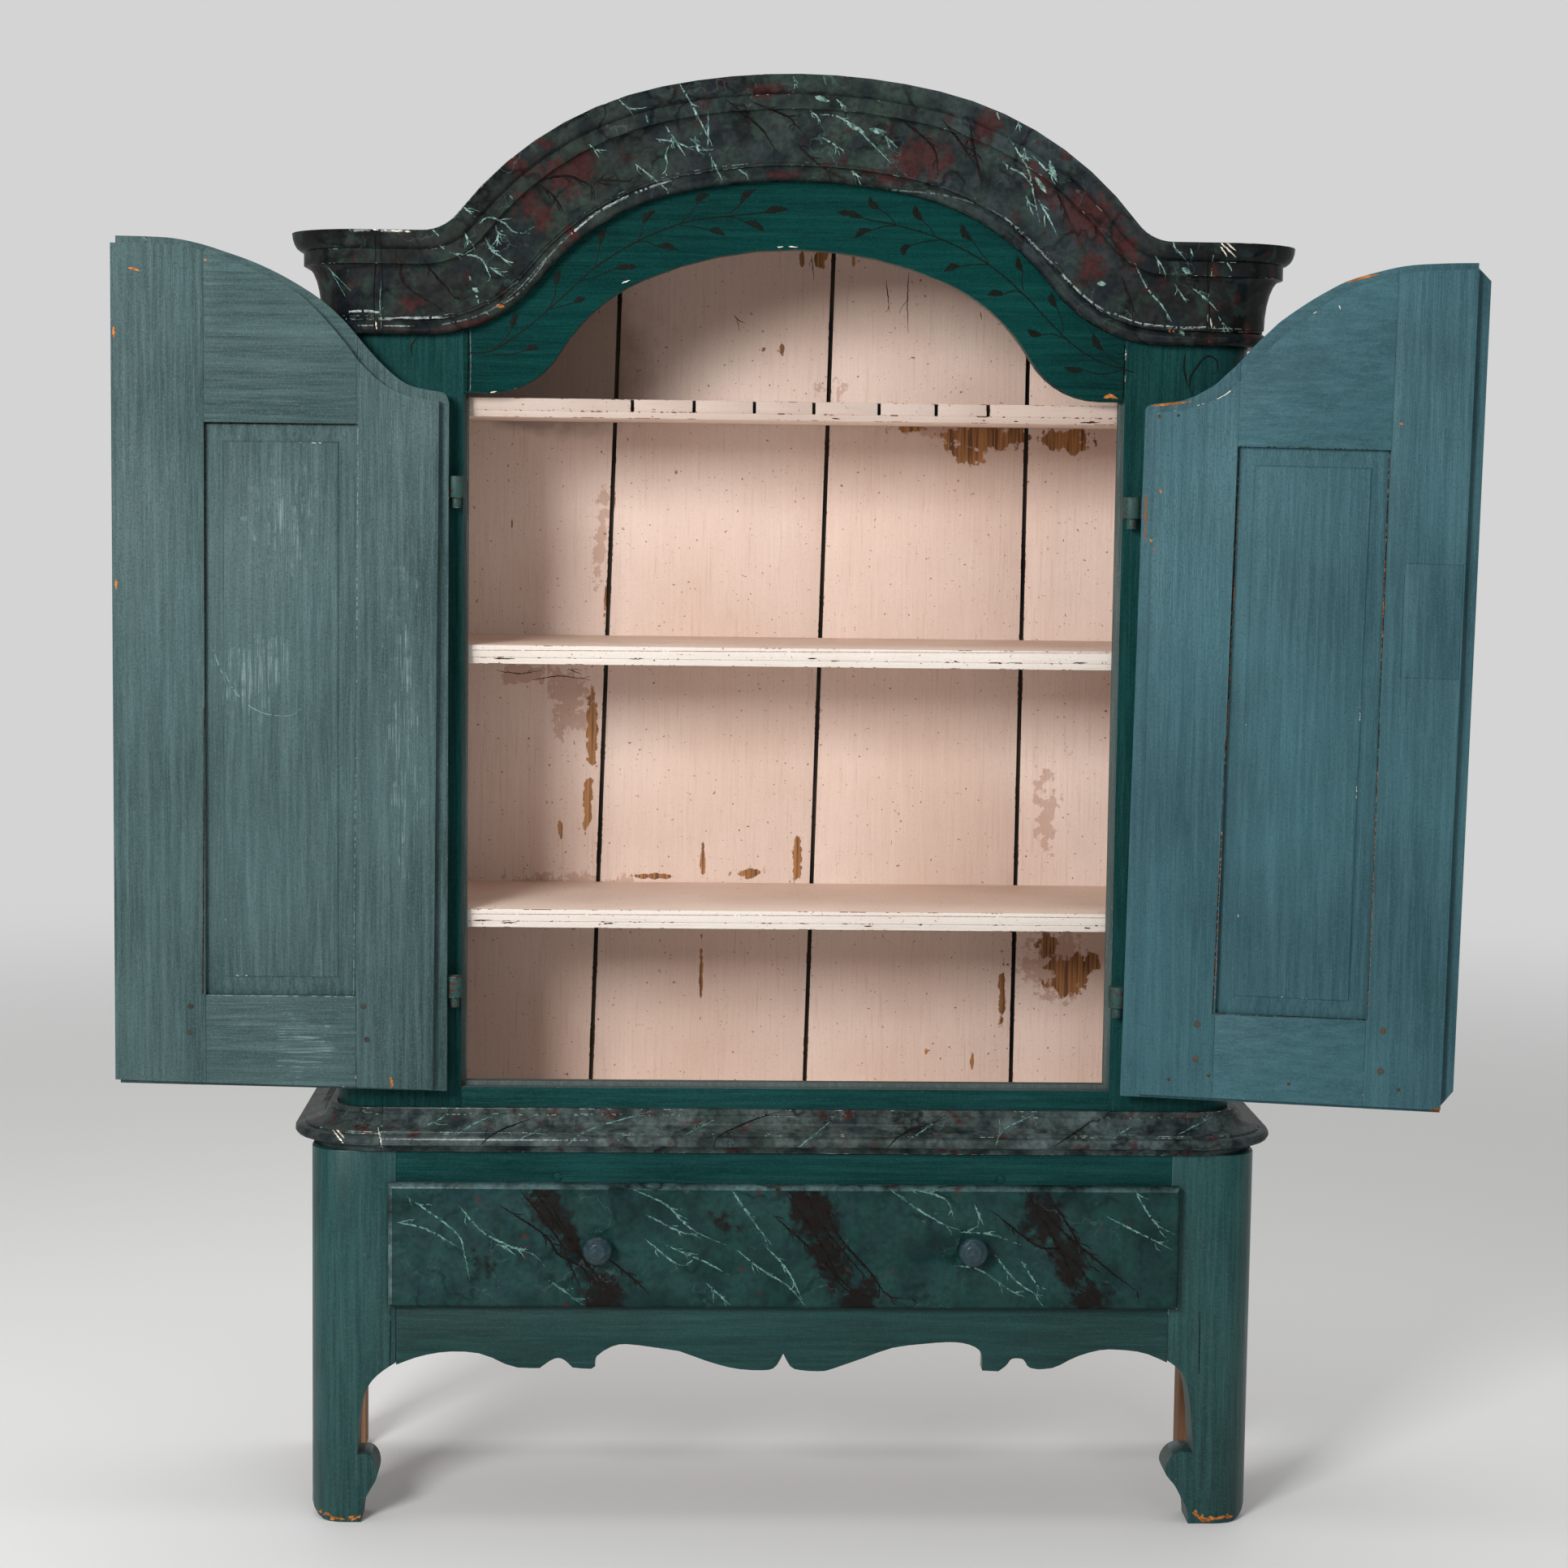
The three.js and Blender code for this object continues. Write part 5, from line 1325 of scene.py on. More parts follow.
    def paint(self, strokes: Strokes) -> bpy.types.Object:
        """Makes one piece of all the strokes, which rides on its body.

        Args:
            strokes: What is painted, and on what.

        Returns:
            The piece.
        """
        dice = random.Random(strokes.name)
        work = bmesh.new()
        for path, share in self.with_twigs(strokes, dice):
            thinner = replace(strokes, width=strokes.width * share)
            for run in self.rings(thinner, path, dice):
                rows = [[work.verts.new(place) for place in ring] for ring in run]
                for first, second in zip(rows, rows[1:]):
                    for index in range(4):
                        after = (index + 1) % 4
                        work.faces.new((first[index], first[after], second[after], second[index]))
                work.faces.new(rows[0][::-1])
                work.faces.new(rows[-1])
        bmesh.ops.recalc_face_normals(work, faces=work.faces)
        mesh = mesh_of(strokes.name, work)
        mesh.materials.append(self.finishes.get(strokes.paint))
        piece = show(strokes.name, mesh)
        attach(piece, strokes.body)
        log.info("painted: %s, %d faces", piece.name, len(mesh.polygons))
        return piece


@dataclass
class Studs:
    """Peg ends or nail heads, which one Geometry Nodes tree sets where the photograph shows them."""

    name: str
    finish: str
    slot: str
    body: str
    carriers: tuple[str, ...]
    places: tuple[Pixel, ...]
    radius_mm: float
    proud_mm: float
    seed: int = 3
    segments: int = 16
    rings: int = 8
    smallest: float = 0.85
    largest: float = 1.15

    def points(self, painter: Painter) -> bpy.types.Object:
        """Makes the points on the surface, each with the way that it faces.

        Args:
            painter: What finds the surface.

        Returns:
            An object with a mesh of points.
        """
        hits = [painter.touch(place, self.carriers) for place in self.places]
        hits = [hit for hit in hits if hit is not None]
        mesh = bpy.data.meshes.new(self.name + "_points")
        mesh.from_pydata([place for place, _ in hits], [], [])
        facing = mesh.attributes.new("facing", "FLOAT_VECTOR", "POINT")
        for index, (_, normal) in enumerate(hits):
            facing.data[index].vector = normal
        return show(mesh.name, mesh)

    def tree(self, material: bpy.types.Material) -> Tree:
        """Builds the tree that sets a low dome on every point.

        Args:
            material: The domes' finish.

        Returns:
            The tree.
        """
        tree = bpy.data.node_groups.new("studs", "GeometryNodeTree")
        tree.interface.new_socket("Points", in_out="INPUT", socket_type="NodeSocketGeometry")
        for title in ("Radius", "Proud"):
            tree.interface.new_socket(title, in_out="INPUT", socket_type="NodeSocketFloat")
        tree.interface.new_socket("Studs", in_out="OUTPUT", socket_type="NodeSocketGeometry")
        given = tree.nodes.new("NodeGroupInput").outputs
        turned = {"Segments": self.segments, "Rings": self.rings, "Radius": 1.0}
        ball = put(tree, "GeometryNodeMeshUVSphere", turned, "Mesh")
        size = put(tree, "ShaderNodeCombineXYZ", {0: given["Radius"], 1: given["Radius"], 2: given["Proud"]})
        named = {"Name": "facing"}
        facing = put(tree, "GeometryNodeInputNamedAttribute", named, "Attribute", data_type="FLOAT_VECTOR")
        spread = {"Seed": self.seed, 2: self.smallest, 3: self.largest}
        values = {
            "Points": given["Points"],
            "Instance": put(tree, "GeometryNodeTransform", {"Geometry": ball, "Scale": size}),
            "Rotation": put(tree, "FunctionNodeAlignRotationToVector", {"Vector": facing}, axis="Z"),
            "Scale": put(tree, "FunctionNodeRandomValue", spread, 1, data_type="FLOAT"),
        }
        placed = put(tree, "GeometryNodeInstanceOnPoints", values)
        real = put(tree, "GeometryNodeRealizeInstances", {0: placed})
        dressed = put(tree, "GeometryNodeSetMaterial", {"Geometry": real, "Material": material})
        fill(tree.nodes.new("NodeGroupOutput"), {0: dressed})
        return tree

    def build(self, painter: Painter) -> bpy.types.Object:
        """Makes the studs and bakes them to a plain mesh.

        Args:
            painter: What finds the surface.

        Returns:
            The piece.
        """
        holder = self.points(painter)
        modifier = holder.modifiers.new("studs", "NODES")
        modifier.node_group = self.tree(painter.finishes.get(self.finish))
        sizes = {"Radius": self.radius_mm * MM, "Proud": self.proud_mm * MM}
        for item in modifier.node_group.interface.items_tree:
            if item.name in sizes:
                modifier[item.identifier] = sizes[item.name]
        graph = bpy.context.evaluated_depsgraph_get()
        mesh = bpy.data.meshes.new_from_object(holder.evaluated_get(graph))
        bpy.data.objects.remove(holder)
        piece = show(self.name, mesh)
        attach(piece, self.body)
        log.info("studs: %s, %d faces", piece.name, len(mesh.polygons))
        return piece


@dataclass
class Knob:
    """A turned knob: a waisted neck, a rolled rim, and a domed face with a raised ring.

    Sizes are millimetres, and shares are of the rim's radius.
    """

    node: str
    rim_radius: float = 20.5
    rim_depth: float = 13.0
    rim_roll: tuple[float, float, float] = (2.5, 4.5, 7.0)
    rim_shares: tuple[float, float] = (0.94, 0.76)
    face_share: float = 0.93
    face_steps: int = 12
    ring_radius: float = 10.5
    ring_width: float = 2.4
    ring_height: float = 1.7
    dome: float = 8.5
    neck_radius: float = 11.0
    neck_curve: tuple[float, float, float] = (1.5, 6.0, 2.0)
    foot_radius: float = 14.5
    foot_depth: float = 4.0
    tenon_radius: float = 7.8
    steps: int = 40
    smooth_angle: float = math.radians(40)

    def profile(self, length: float, tenon_end: float) -> list[tuple[float, float]]:
        """Works out the knob's outline.

        Args:
            length: How far the knob's tip stands off the drawer.
            tenon_end: How far behind the tip its tenon ends.

        Returns:
            The radius and the depth behind the tip, from the tip to the end of the tenon.
        """
        points = []
        for index in range(self.face_steps + 1):
            radius = self.rim_radius * self.face_share * index / self.face_steps
            depth = self.dome * (radius / self.rim_radius) ** 2
            off = (radius - self.ring_radius) / self.ring_width
            points.append((radius, depth - self.ring_height * math.exp(-off * off)))
        first, second, third = self.rim_roll
        start, waist, end = self.neck_curve
        points += [(self.rim_radius, self.dome + first), (self.rim_radius, self.dome + second)]
        points.append((self.rim_radius * self.rim_shares[0], self.dome + third))
        points.append((self.rim_radius * self.rim_shares[1], self.rim_depth + start))
        points.append((self.neck_radius, self.rim_depth + waist))
        points.append((self.neck_radius, length - self.foot_depth - end))
        points += [(self.foot_radius, length - self.foot_depth), (self.foot_radius, length)]
        points += [(self.tenon_radius, length), (self.tenon_radius, tenon_end), (0.0, tenon_end)]
        return points

    def build(self, finishes: "Finishes") -> bpy.types.Object:
        """Turns the knob on its node's axis and lets it stand for the node.

        Args:
            finishes: The cupboard's finishes.

        Returns:
            The piece.
        """
        low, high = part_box(self.node)
        tip = Vector(((low.x + high.x) / 2, low.y, (low.z + high.z) / 2))
        length = (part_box("drawer_front")[0].y - low.y) / MM
        work = bmesh.new()
        rows = []
        for radius, depth in self.profile(length, (high.y - low.y) / MM):
            row = []
            for index in range(self.steps if radius > 0 else 1):
                turn = 2 * math.pi * index / self.steps
                off = Vector((math.cos(turn) * radius * MM, depth * MM, math.sin(turn) * radius * MM))
                row.append(work.verts.new(tip + off))
            rows.append(row)
        for first, second in zip(rows, rows[1:]):
            for index in range(self.steps):
                corners = [first[index % len(first)], first[(index + 1) % len(first)]]
                corners += [second[(index + 1) % len(second)], second[index % len(second)]]
                work.faces.new(list(dict.fromkeys(corners)))
        bmesh.ops.recalc_face_normals(work, faces=work.faces)
        for face in work.faces:
            face.smooth = True
        for edge in work.edges:
            edge.smooth = edge.calc_face_angle(0.0) < self.smooth_angle
        mesh = mesh_of(self.node + "_turned", work)
        mesh.materials.append(finishes.get("blue_grey_knob_paint"))
        piece = show(mesh.name, mesh)
        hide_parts(self.node)
        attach(piece, "drawer")
        log.info("turned: %s, %d faces", piece.name, len(mesh.polygons))
        return piece


UPRIGHT_GREEN = "green_oil_paint_upright"
LEVEL_GREEN = "green_oil_paint_level"
UPRIGHT_LEFT = "grey_green_oil_paint_upright"
LEVEL_LEFT = "grey_green_oil_paint_level"
UPRIGHT_RIGHT = "blue_green_oil_paint_upright"
LEVEL_RIGHT = "blue_green_oil_paint_level"
REVEAL = "pale_grey_oil_paint"


@dataclass
class Finishes:
    """Every finish of the cupboard, made once."""

    made: dict[str, bpy.types.Material] = field(default_factory=dict)

    def __post_init__(self) -> None:
        """Makes the materials."""
        for finish in [*self.paints(), *self.marbles(), *self.linings(), *self.woods(), *self.coats()]:
            self.made[finish.name] = finish.material()

    def get(self, name: str) -> bpy.types.Material:
        """The material of that name."""
        return self.made[name]

    def paints(self) -> list[OilPaint]:
        """Lists the plain paints of the case and the doors.

        Returns:
            The paints.
        """
        case = {"colour": "#103837", "shade": "#0A2A29", "streak": "#27504E", "reflected": "#6FA8A4"}
        case |= {"roughness": 0.36, "shine": 0.1, "streaked": 0.3, "wear": -0.1}
        frieze = {"colour": "#072E2C", "shade": "#08201F", "streak": "#154642", "reflected": "#4F9C97"}
        frieze |= {"roughness": 0.36, "shine": 0.1, "streaked": 0.34, "wear": -0.2}
        legs = {"colour": "#173F3E", "shade": "#102D2D", "streak": "#3A625F", "streaked": 0.3}
        legs |= {"roughness": 0.36, "wear": -0.3, "shine": 0.06, "varnish": 0.35}
        apron = legs | {"colour": "#0D3231", "shade": "#0A2625", "streak": "#24504D"}
        left = {"colour": "#3A4E4F", "shade": "#293C3D", "streak": "#637C7C", "streaked": 0.26, "wear": -0.15}
        left |= {"pale": LEFT_DOOR_PAINTED_SHEEN, "brown": LEFT_DOOR_WORN}
        right = {"colour": "#34565D", "shade": "#27444B", "streak": "#50757D", "streaked": 0.24}
        right |= {"wear": -0.15, "brown": RIGHT_DOOR_WORN}
        return [
            OilPaint(UPRIGHT_GREEN, grain=Grain.UPRIGHT, **case),
            OilPaint(LEVEL_GREEN, grain=Grain.LEVEL, **case),
            OilPaint("frieze_oil_paint_level", grain=Grain.LEVEL, **frieze),
            OilPaint("leg_oil_paint_upright", grain=Grain.UPRIGHT, **legs),
            OilPaint("apron_oil_paint_level", grain=Grain.LEVEL, **apron),
            OilPaint(UPRIGHT_LEFT, grain=Grain.UPRIGHT, **left),
            OilPaint(LEVEL_LEFT, grain=Grain.LEVEL, **left),
            OilPaint(UPRIGHT_RIGHT, grain=Grain.UPRIGHT, **right),
            OilPaint(LEVEL_RIGHT, grain=Grain.LEVEL, **right),
            OilPaint(REVEAL, "#4C5957", "#3B4644", "#6C7775", Grain.UPRIGHT, 0.5, wear=-0.1),
            OilPaint("blue_grey_knob_paint", "#1C2E34", "#132226", "#36545D", Grain.DEEP, 0.27, 0.1, 0.4),
        ]

    def marbles(self) -> list[MarbledPaint]:
        """Lists the marbled paints of the mouldings and the drawer.

        Returns:
            The paints.
        """
        cornice = (
            (0.0, "#0B0C0A"),
            (1.0, "#0D120F"),
            (0.12, "#262726"),
            (0.3, "#333B37"),
            (0.42, "#292F31"),
            (0.55, "#36413C"),
            (0.72, "#313A3D"),
            (0.86, "#212221"),
        )
        waist = ((0.0, "#424D4C"), (1.0, "#394445"), (0.3, "#53605E"), (0.55, "#48514F"), (0.8, "#52605F"))
        drawer = ((0.0, "#263F3F"), (1.0, "#1A3735"), (0.4, "#1E3B39"), (0.7, "#203C3A"))
        edge = ((0.0, "#566C6E"), (1.0, "#45605F"))
        reds = {"spots": CORNICE_REDS, "spot_colour": "#3F201F", "red": "#381D1C", "redness": 0.45}
        teal = {"black": "#0C201F", "navy": "#1B2A33", "green": "#1A423E", "patched": 0.35, "varnish": 0.15}
        return [
            MarbledPaint("marbled_cornice_paint", cornice, **reds),
            MarbledPaint("marbled_waist_paint", waist, red="#43211F", redness=0.5, veined=0.3),
            MarbledPaint("marbled_drawer_paint", drawer, DRAWER_BANDS, "#170E0C", 0.95, redness=0.0, **teal),
            MarbledPaint("rubbed_drawer_edge_paint", edge, redness=0.2, patched=0.2),
        ]

    def linings(self) -> list[PinkPaint]:
        """Lists the pink paints of the inside.

        Returns:
            The paints.
        """
        board = {"colour": "#DAC5B9", "shade": "#CEB4A5", "specks": 0.6}
        board |= {"bare_spots": BOARD_BARE, "stains": BOARD_STAINS, "painted_shade_spots": BOARD_PAINTED_SHADE}
        return [
            PinkPaint("pink_paint_upright", **board),
            # Painted light: the level pink is lighter than the upright pink, standing in for the light that
            # falls on the tops of the shelves and the floor
            PinkPaint("pink_paint_level", "#F0DCCE", "#E0C8B8", grain=Grain.LEVEL, specks=0.6),
            PinkPaint("white_shelf_edge_paint", "#D8CFC7", "#CDC2B8", "#E4DAD1", Grain.LEVEL, 0.7),
            PinkPaint("dull_shelf_edge_paint", "#BCAAA0", "#AC978B", "#C9B8AC", Grain.LEVEL, 0.7),
        ]

    def woods(self) -> list[Any]:
        """Lists the bare woods and the painted iron.

        Returns:
            The woods and the iron.
        """
        return [
            BareWood("bare_softwood_upright"),
            BareWood("greyed_softwood_upright", "#7B6049", "#54402F"),
            BareWood("bare_softwood_level", grain=Grain.LEVEL),
            BareWood("bare_softwood_deep", grain=Grain.DEEP),
            # Near black wood for painted shade in joints and slots, and their dirt
            BareWood("dark_joint_wood", "#0E0B09", "#080706"),
            BareWood("worn_peg_wood", "#2B2A26", "#14130F", Grain.DEEP),
            PaintedIron("painted_forged_iron"),
            PaintedIron("rusty_nail_iron", "#2A2522", "#57301D", 0.9),
        ]

    def coats(self) -> list[StrokePaint]:
        """Lists the colours of the small brush and of worn places.

        Returns:
            The colours.
        """
        return [
            StrokePaint("pale_aqua_oil", "#839F97", "#3A5550"),
            StrokePaint("deep_aqua_oil", "#688A83", "#2F4F4B"),
            StrokePaint("rubbed_grey_oil", "#626C6B", "#3A4342"),
            StrokePaint("tan_dust", "#A78F82", "#8F7768", 0.8),
            StrokePaint("cream_oil", "#C9C6B4", "#A8A493", 0.5),
            StrokePaint("black_brown_oil", "#0F0E0D", "#1B1513"),
            StrokePaint("dark_leaf_oil", "#071A17", "#120F0B"),
            # The colour of painted highlights
            StrokePaint("gloss_light_oil", "#9AA19F", "#5C6462", 0.3),
            StrokePaint("white_ground", "#E3DCD0", "#BDB4A6", 0.7),
            StrokePaint("orange_wood", "#B9753A", "#8B5125", 0.8),
            StrokePaint("brown_dirt", "#3A2A20", "#241A14", 0.8),
            StrokePaint("pale_scratch", "#6F8683", "#5A7573", 0.6),
            StrokePaint("black_gap", "#090A09", "#0D0E0C", 0.9),
        ]


class Facing(Enum):
    """The way that a face looks out of a piece."""

    FRONT = (0, -1, 0)
    REAR = (0, 1, 0)
    LEFT = (-1, 0, 0)
    RIGHT = (1, 0, 0)
    UP = (0, 0, 1)
    DOWN = (0, 0, -1)


FAR = 1e6


@dataclass(frozen=True)
class Zone:
    """Faces of a piece with another finish: those that look one way, within limits in millimetres."""

    finish: str
    facing: Facing
    x: tuple[float, float] = (-FAR, FAR)
    y: tuple[float, float] = (-FAR, FAR)
    z: tuple[float, float] = (-FAR, FAR)
    turned: float = 0.7

    def holds(self, face: bmesh.types.BMFace) -> bool:
        """Tells whether a face lies in this zone.

        Args:
            face: The face.

        Returns:
            Whether it does.
        """
        middle = face.calc_center_median()
        places = ((middle.x - CENTRE_X) / MM, (middle.y - FACE_Y) / MM, middle.z / MM)
        if not all(low <= place <= high for place, (low, high) in zip(places, (self.x, self.y, self.z))):
            return False
        return face.normal.dot(Vector(self.facing.value)) > self.turned


CORNICE = ("cornice_front", "left_cornice_return", "right_cornice_return")
WAIST = ("waist_front", "left_waist_return", "right_waist_return")
FRIEZE = ("arched_frieze", "left_stile", "right_stile")
BACK = ("back_board_1", "back_board_2", "back_board_3", "back_board_4")
FEET = ("left_front_leg", "right_front_leg")
SHELVES = ("top_shelf", "middle_shelf", "lower_shelf")


@dataclass
class Board:
    """One piece of wood or iron taken from the frame, with its edges eased."""

    node: str
    finish: str
    slot: str
    ease_mm: float = 0.8
    zones: tuple[Zone, ...] = ()
    eased_angle: float = math.radians(40)
    kept_angle: float = math.radians(32)
    flat_angle: float = math.radians(0.6)
    weld_m: float = 1e-5
    worn_share: float = 1.1

    def eased(self) -> bmesh.types.BMesh:
        """Rounds the sharp edges of the node's mesh and marks the worn ones.

        Returns:
            The mesh in work.
        """
        work = bmesh.new()
        work.from_mesh(frame["nodes"][self.node].data)
        bmesh.ops.remove_doubles(work, verts=work.verts, dist=self.weld_m)
        bmesh.ops.dissolve_limit(work, angle_limit=self.flat_angle, verts=work.verts, edges=work.edges)
        rubbed = work.faces.layers.float.new("rubbed")
        sharp = [e for e in work.edges if e.is_manifold and e.calc_face_angle(0.0) > self.eased_angle]
        if self.ease_mm and sharp:
            ease = self.ease_mm * MM
            shape = {"segments": 2, "profile": 0.5, "affect": "EDGES", "clamp_overlap": True}
            bmesh.ops.bevel(work, geom=sharp, offset=ease, **shape)
            for face in work.faces:
                width = face.calc_area() / max(edge.calc_length() for edge in face.edges)
                if width < ease * self.worn_share:
                    face[rubbed] = 1.0
        return work

    def build(self, finishes: Finishes) -> bpy.types.Object:
        """Makes the eased copy, which stands for the frame's node.

        Args:
            finishes: The cupboard's finishes.

        Returns:
            The piece.
        """
        work = self.eased()
        for face in work.faces:
            face.smooth = True
            for index, zone in enumerate(self.zones):
                if zone.holds(face):
                    face.material_index = index + 1
        for edge in work.edges:
            if edge.is_manifold and edge.calc_face_angle(0.0) > self.kept_angle:
                edge.smooth = False
        bmesh.ops.triangulate(work, faces=[f for f in work.faces if len(f.verts) > 4])
        mesh = mesh_of(self.node + "_eased", work)
        piece = show(mesh.name, mesh)
        for finish in (self.finish, *(zone.finish for zone in self.zones)):
            mesh.materials.append(finishes.get(finish))
        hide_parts(self.node)
        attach(piece, frame["nodes"][self.node]["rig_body"])
        return piece


INWARD = {"left": Facing.RIGHT, "right": Facing.LEFT}


@dataclass
class Base:
    """The lower stage: four legs, its rails and boards, and the runners."""

    ease_mm: float = 1.2
    rail_ease_mm: float = 1.0
    peg_ease_mm: float = 0.5

    def boards(self) -> list[Board]:
        """Lists its boards.

        Returns:
            The boards.
        """
        legs, rails = self.ease_mm, self.rail_ease_mm
        made = []
        for side, facing in INWARD.items():
            reveal = (Zone(REVEAL, facing),)
            made.append(Board(f"{side}_front_leg", "leg_oil_paint_upright", "green_paint", legs, reveal))
            made.append(Board(f"{side}_base_side", UPRIGHT_GREEN, "green_paint", legs))
            made.append(Board(f"{side}_rear_leg", "bare_softwood_upright", "bare_wood", legs))
            made.append(Board(f"{side}_rail_peg", UPRIGHT_GREEN, "green_paint", self.peg_ease_mm))
            made.append(Board(f"{side}_drawer_runner", "bare_softwood_deep", "bare_wood"))
        made.append(Board("base_upper_rail", LEVEL_GREEN, "green_paint", rails))
        made.append(Board("apron", "apron_oil_paint_level", "green_paint", rails))
        made.append(Board("base_back", "bare_softwood_level", "bare_wood"))
        return made


@dataclass
class Case:
    """The upper stage: its face frame, sides, back boards, roof and shelves."""

    strip_mm: float = 5.5
    sill_strip_mm: float = 6.5
    shelf_ease_mm: float = 1.2
    slot_half_span_mm: float = 420.0
    slot_start_mm: float = 6.0
    slot_end_mm: float = 20.0
    joint_start_mm: float = 2.0

    def face_frame(self) -> list[Board]:
        """Lists what the doors close on, and the sides behind it.

        Returns:
            The boards.
        """
        edge = abs(OPENING_MM) + self.strip_mm
        made = []
        for side, facing in INWARD.items():
            reveals = (Zone(REVEAL, facing), Zone(REVEAL, Facing.FRONT, x=(-edge, edge)))
            lining = (Zone("pink_paint_upright", facing),)
            made.append(Board(f"{side}_stile", UPRIGHT_GREEN, "green_paint", zones=reveals))
            made.append(Board(f"{side}_case_side", UPRIGHT_GREEN, "green_paint", zones=lining))
        sill_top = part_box("sill_rail")[1].z / MM
        strip = Zone(REVEAL, Facing.FRONT, z=(sill_top - self.sill_strip_mm, sill_top + 1))
        made.append(Board("sill_rail", LEVEL_GREEN, "green_paint", zones=(Zone(REVEAL, Facing.UP), strip)))
        made.append(Board("arched_frieze", "frieze_oil_paint_level", "green_paint"))
        return made

    def shelves(self) -> list[Board]:
        """Lists the roof, the floor and the shelves.

        Returns:
            The boards.
        """
        # The level pink on the roof, floor and shelves is the lightened one, which paints in light from above
        ease = self.shelf_ease_mm
        under = (Zone("pink_paint_level", Facing.DOWN),)
        made = [Board("roof_vault", "bare_softwood_deep", "bare_wood", zones=under)]
        made.append(Board("case_floor", "pink_paint_level", "pink_paint", ease))
        for shelf in ("middle_shelf", "lower_shelf"):
            edge = (Zone("white_shelf_edge_paint", Facing.FRONT, turned=0.2),)
            made.append(Board(shelf, "pink_paint_level", "pink_paint", ease, edge))
        front = (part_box("top_shelf")[0].y - FACE_Y) / MM
        across = (-self.slot_half_span_mm, self.slot_half_span_mm)
        start, end = front + self.slot_start_mm, front + self.slot_end_mm
        zones = [Zone("dull_shelf_edge_paint", Facing.FRONT, y=(-FAR, start))]
        # The spoon slots' inner faces are near black: dirt and painted shade
        zones.append(Zone("dark_joint_wood", Facing.FRONT, x=across, y=(start, end)))
        zones += [Zone("dark_joint_wood", facing, x=across) for facing in (Facing.LEFT, Facing.RIGHT)]
        made.append(Board("top_shelf", "pink_paint_level", "pink_paint", ease, tuple(zones)))
        return made

    def back(self) -> list[Board]:
        """Lists the boards of the back, with painted shade on the lap faces behind their open joints.

        Returns:
            The boards.
        """
        behind = (BACK_FACE_MM + self.joint_start_mm, FAR)
        joint = (Facing.FRONT, Facing.LEFT, Facing.RIGHT)
        made = []
        for index in range(1, 5):
            bare = "greyed_softwood_upright" if index % 2 else "bare_softwood_upright"
            # Painted shade: the lap faces seen through the open joints are near black, as if in shadow
            zones = [Zone("dark_joint_wood", facing, y=behind) for facing in joint]
            zones.append(Zone(bare, Facing.REAR))
            made.append(Board(f"back_board_{index}", "pink_paint_upright", "pink_paint", zones=tuple(zones)))
        return made

    def boards(self) -> list[Board]:
        """All its boards."""
        return [*self.face_frame(), *self.shelves(), *self.back()]


@dataclass
class Mouldings:
    """The cornice and the waist moulding, each with its returns."""

    ease_mm: float = 0.8

    def boards(self) -> list[Board]:
        """Lists their lengths of moulding.

        Returns:
            The boards.
        """
        made = []
        for group, nodes in {"cornice": CORNICE, "waist": WAIST}.items():
            made += [Board(node, f"marbled_{group}_paint", "marbled_paint", self.ease_mm) for node in nodes]
        return made


@dataclass
class Door:
    """One door: its frame, its panel and its hinge eyes."""

    side: str
    upright: str
    level: str
    iron_ease_mm: float = 0.5
    patch_ease_mm: float = 0.3

    def boards(self) -> list[Board]:
        """Lists its boards and its iron.

        Returns:
            The boards.
        """
        outside = (Zone(UPRIGHT_GREEN, Facing.REAR, turned=0.5),)
        made = []
        for name in ("hinge_stile", "meeting_stile", "panel", "top_rail", "bottom_rail"):
            paint = self.level if name.endswith("rail") else self.upright
            made.append(Board(f"{self.side}_door_{name}", paint, "door_paint", zones=outside))
        for name in ("upper", "lower"):
            eye = f"{self.side}_door_{name}_hinge_eye"
            made.append(Board(eye, "painted_forged_iron", "painted_iron", self.iron_ease_mm))
        if self.side == "right":
            made.append(Board("right_door_repair_patch", self.upright, "door_paint", self.patch_ease_mm))
        return made


@dataclass
class Pintles:
    """The fixed pins that the doors hang on."""

    ease_mm: float = 0.4

    def boards(self) -> list[Board]:
        """The four pins."""
        names = [f"{side}_{level}_pintle" for side in ("left", "right") for level in ("upper", "lower")]
        return [Board(name, "painted_forged_iron", "painted_iron", self.ease_mm) for name in names]


@dataclass
class Drawer:
    """The drawer: its marbled front and its plain box."""

    front_ease_mm: float = 0.6
    lip_depth_mm: float = 20.0

    def boards(self) -> list[Board]:
        """Lists its boards.

        Returns:
            The boards.
        """
        lip = (-FAR, (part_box("drawer_front")[0].y - FACE_Y) / MM + self.lip_depth_mm)
        # Rubbed paint and painted highlight: only the left and top faces of the drawer front's lip get the
        # paler paint, as the light falls from the upper left
        worn = [Zone("rubbed_drawer_edge_paint", way, y=lip, turned=0.2) for way in (Facing.LEFT, Facing.UP)]
        front = Board("drawer_front", "marbled_drawer_paint", "drawer_paint", self.front_ease_mm, tuple(worn))
        made = [front]
        for side in ("left", "right"):
            made.append(Board(f"{side}_drawer_side", "bare_softwood_deep", "bare_wood"))
        for name in ("drawer_back", "drawer_bottom"):
            made.append(Board(name, "bare_softwood_level", "bare_wood"))
        return made


def door_pieces(side: str) -> tuple[str, ...]:
    """The names of one door's boards."""
    names = ("hinge_stile", "meeting_stile", "top_rail", "bottom_rail", "panel")
    return tuple(f"{side}_door_{name}" for name in names)


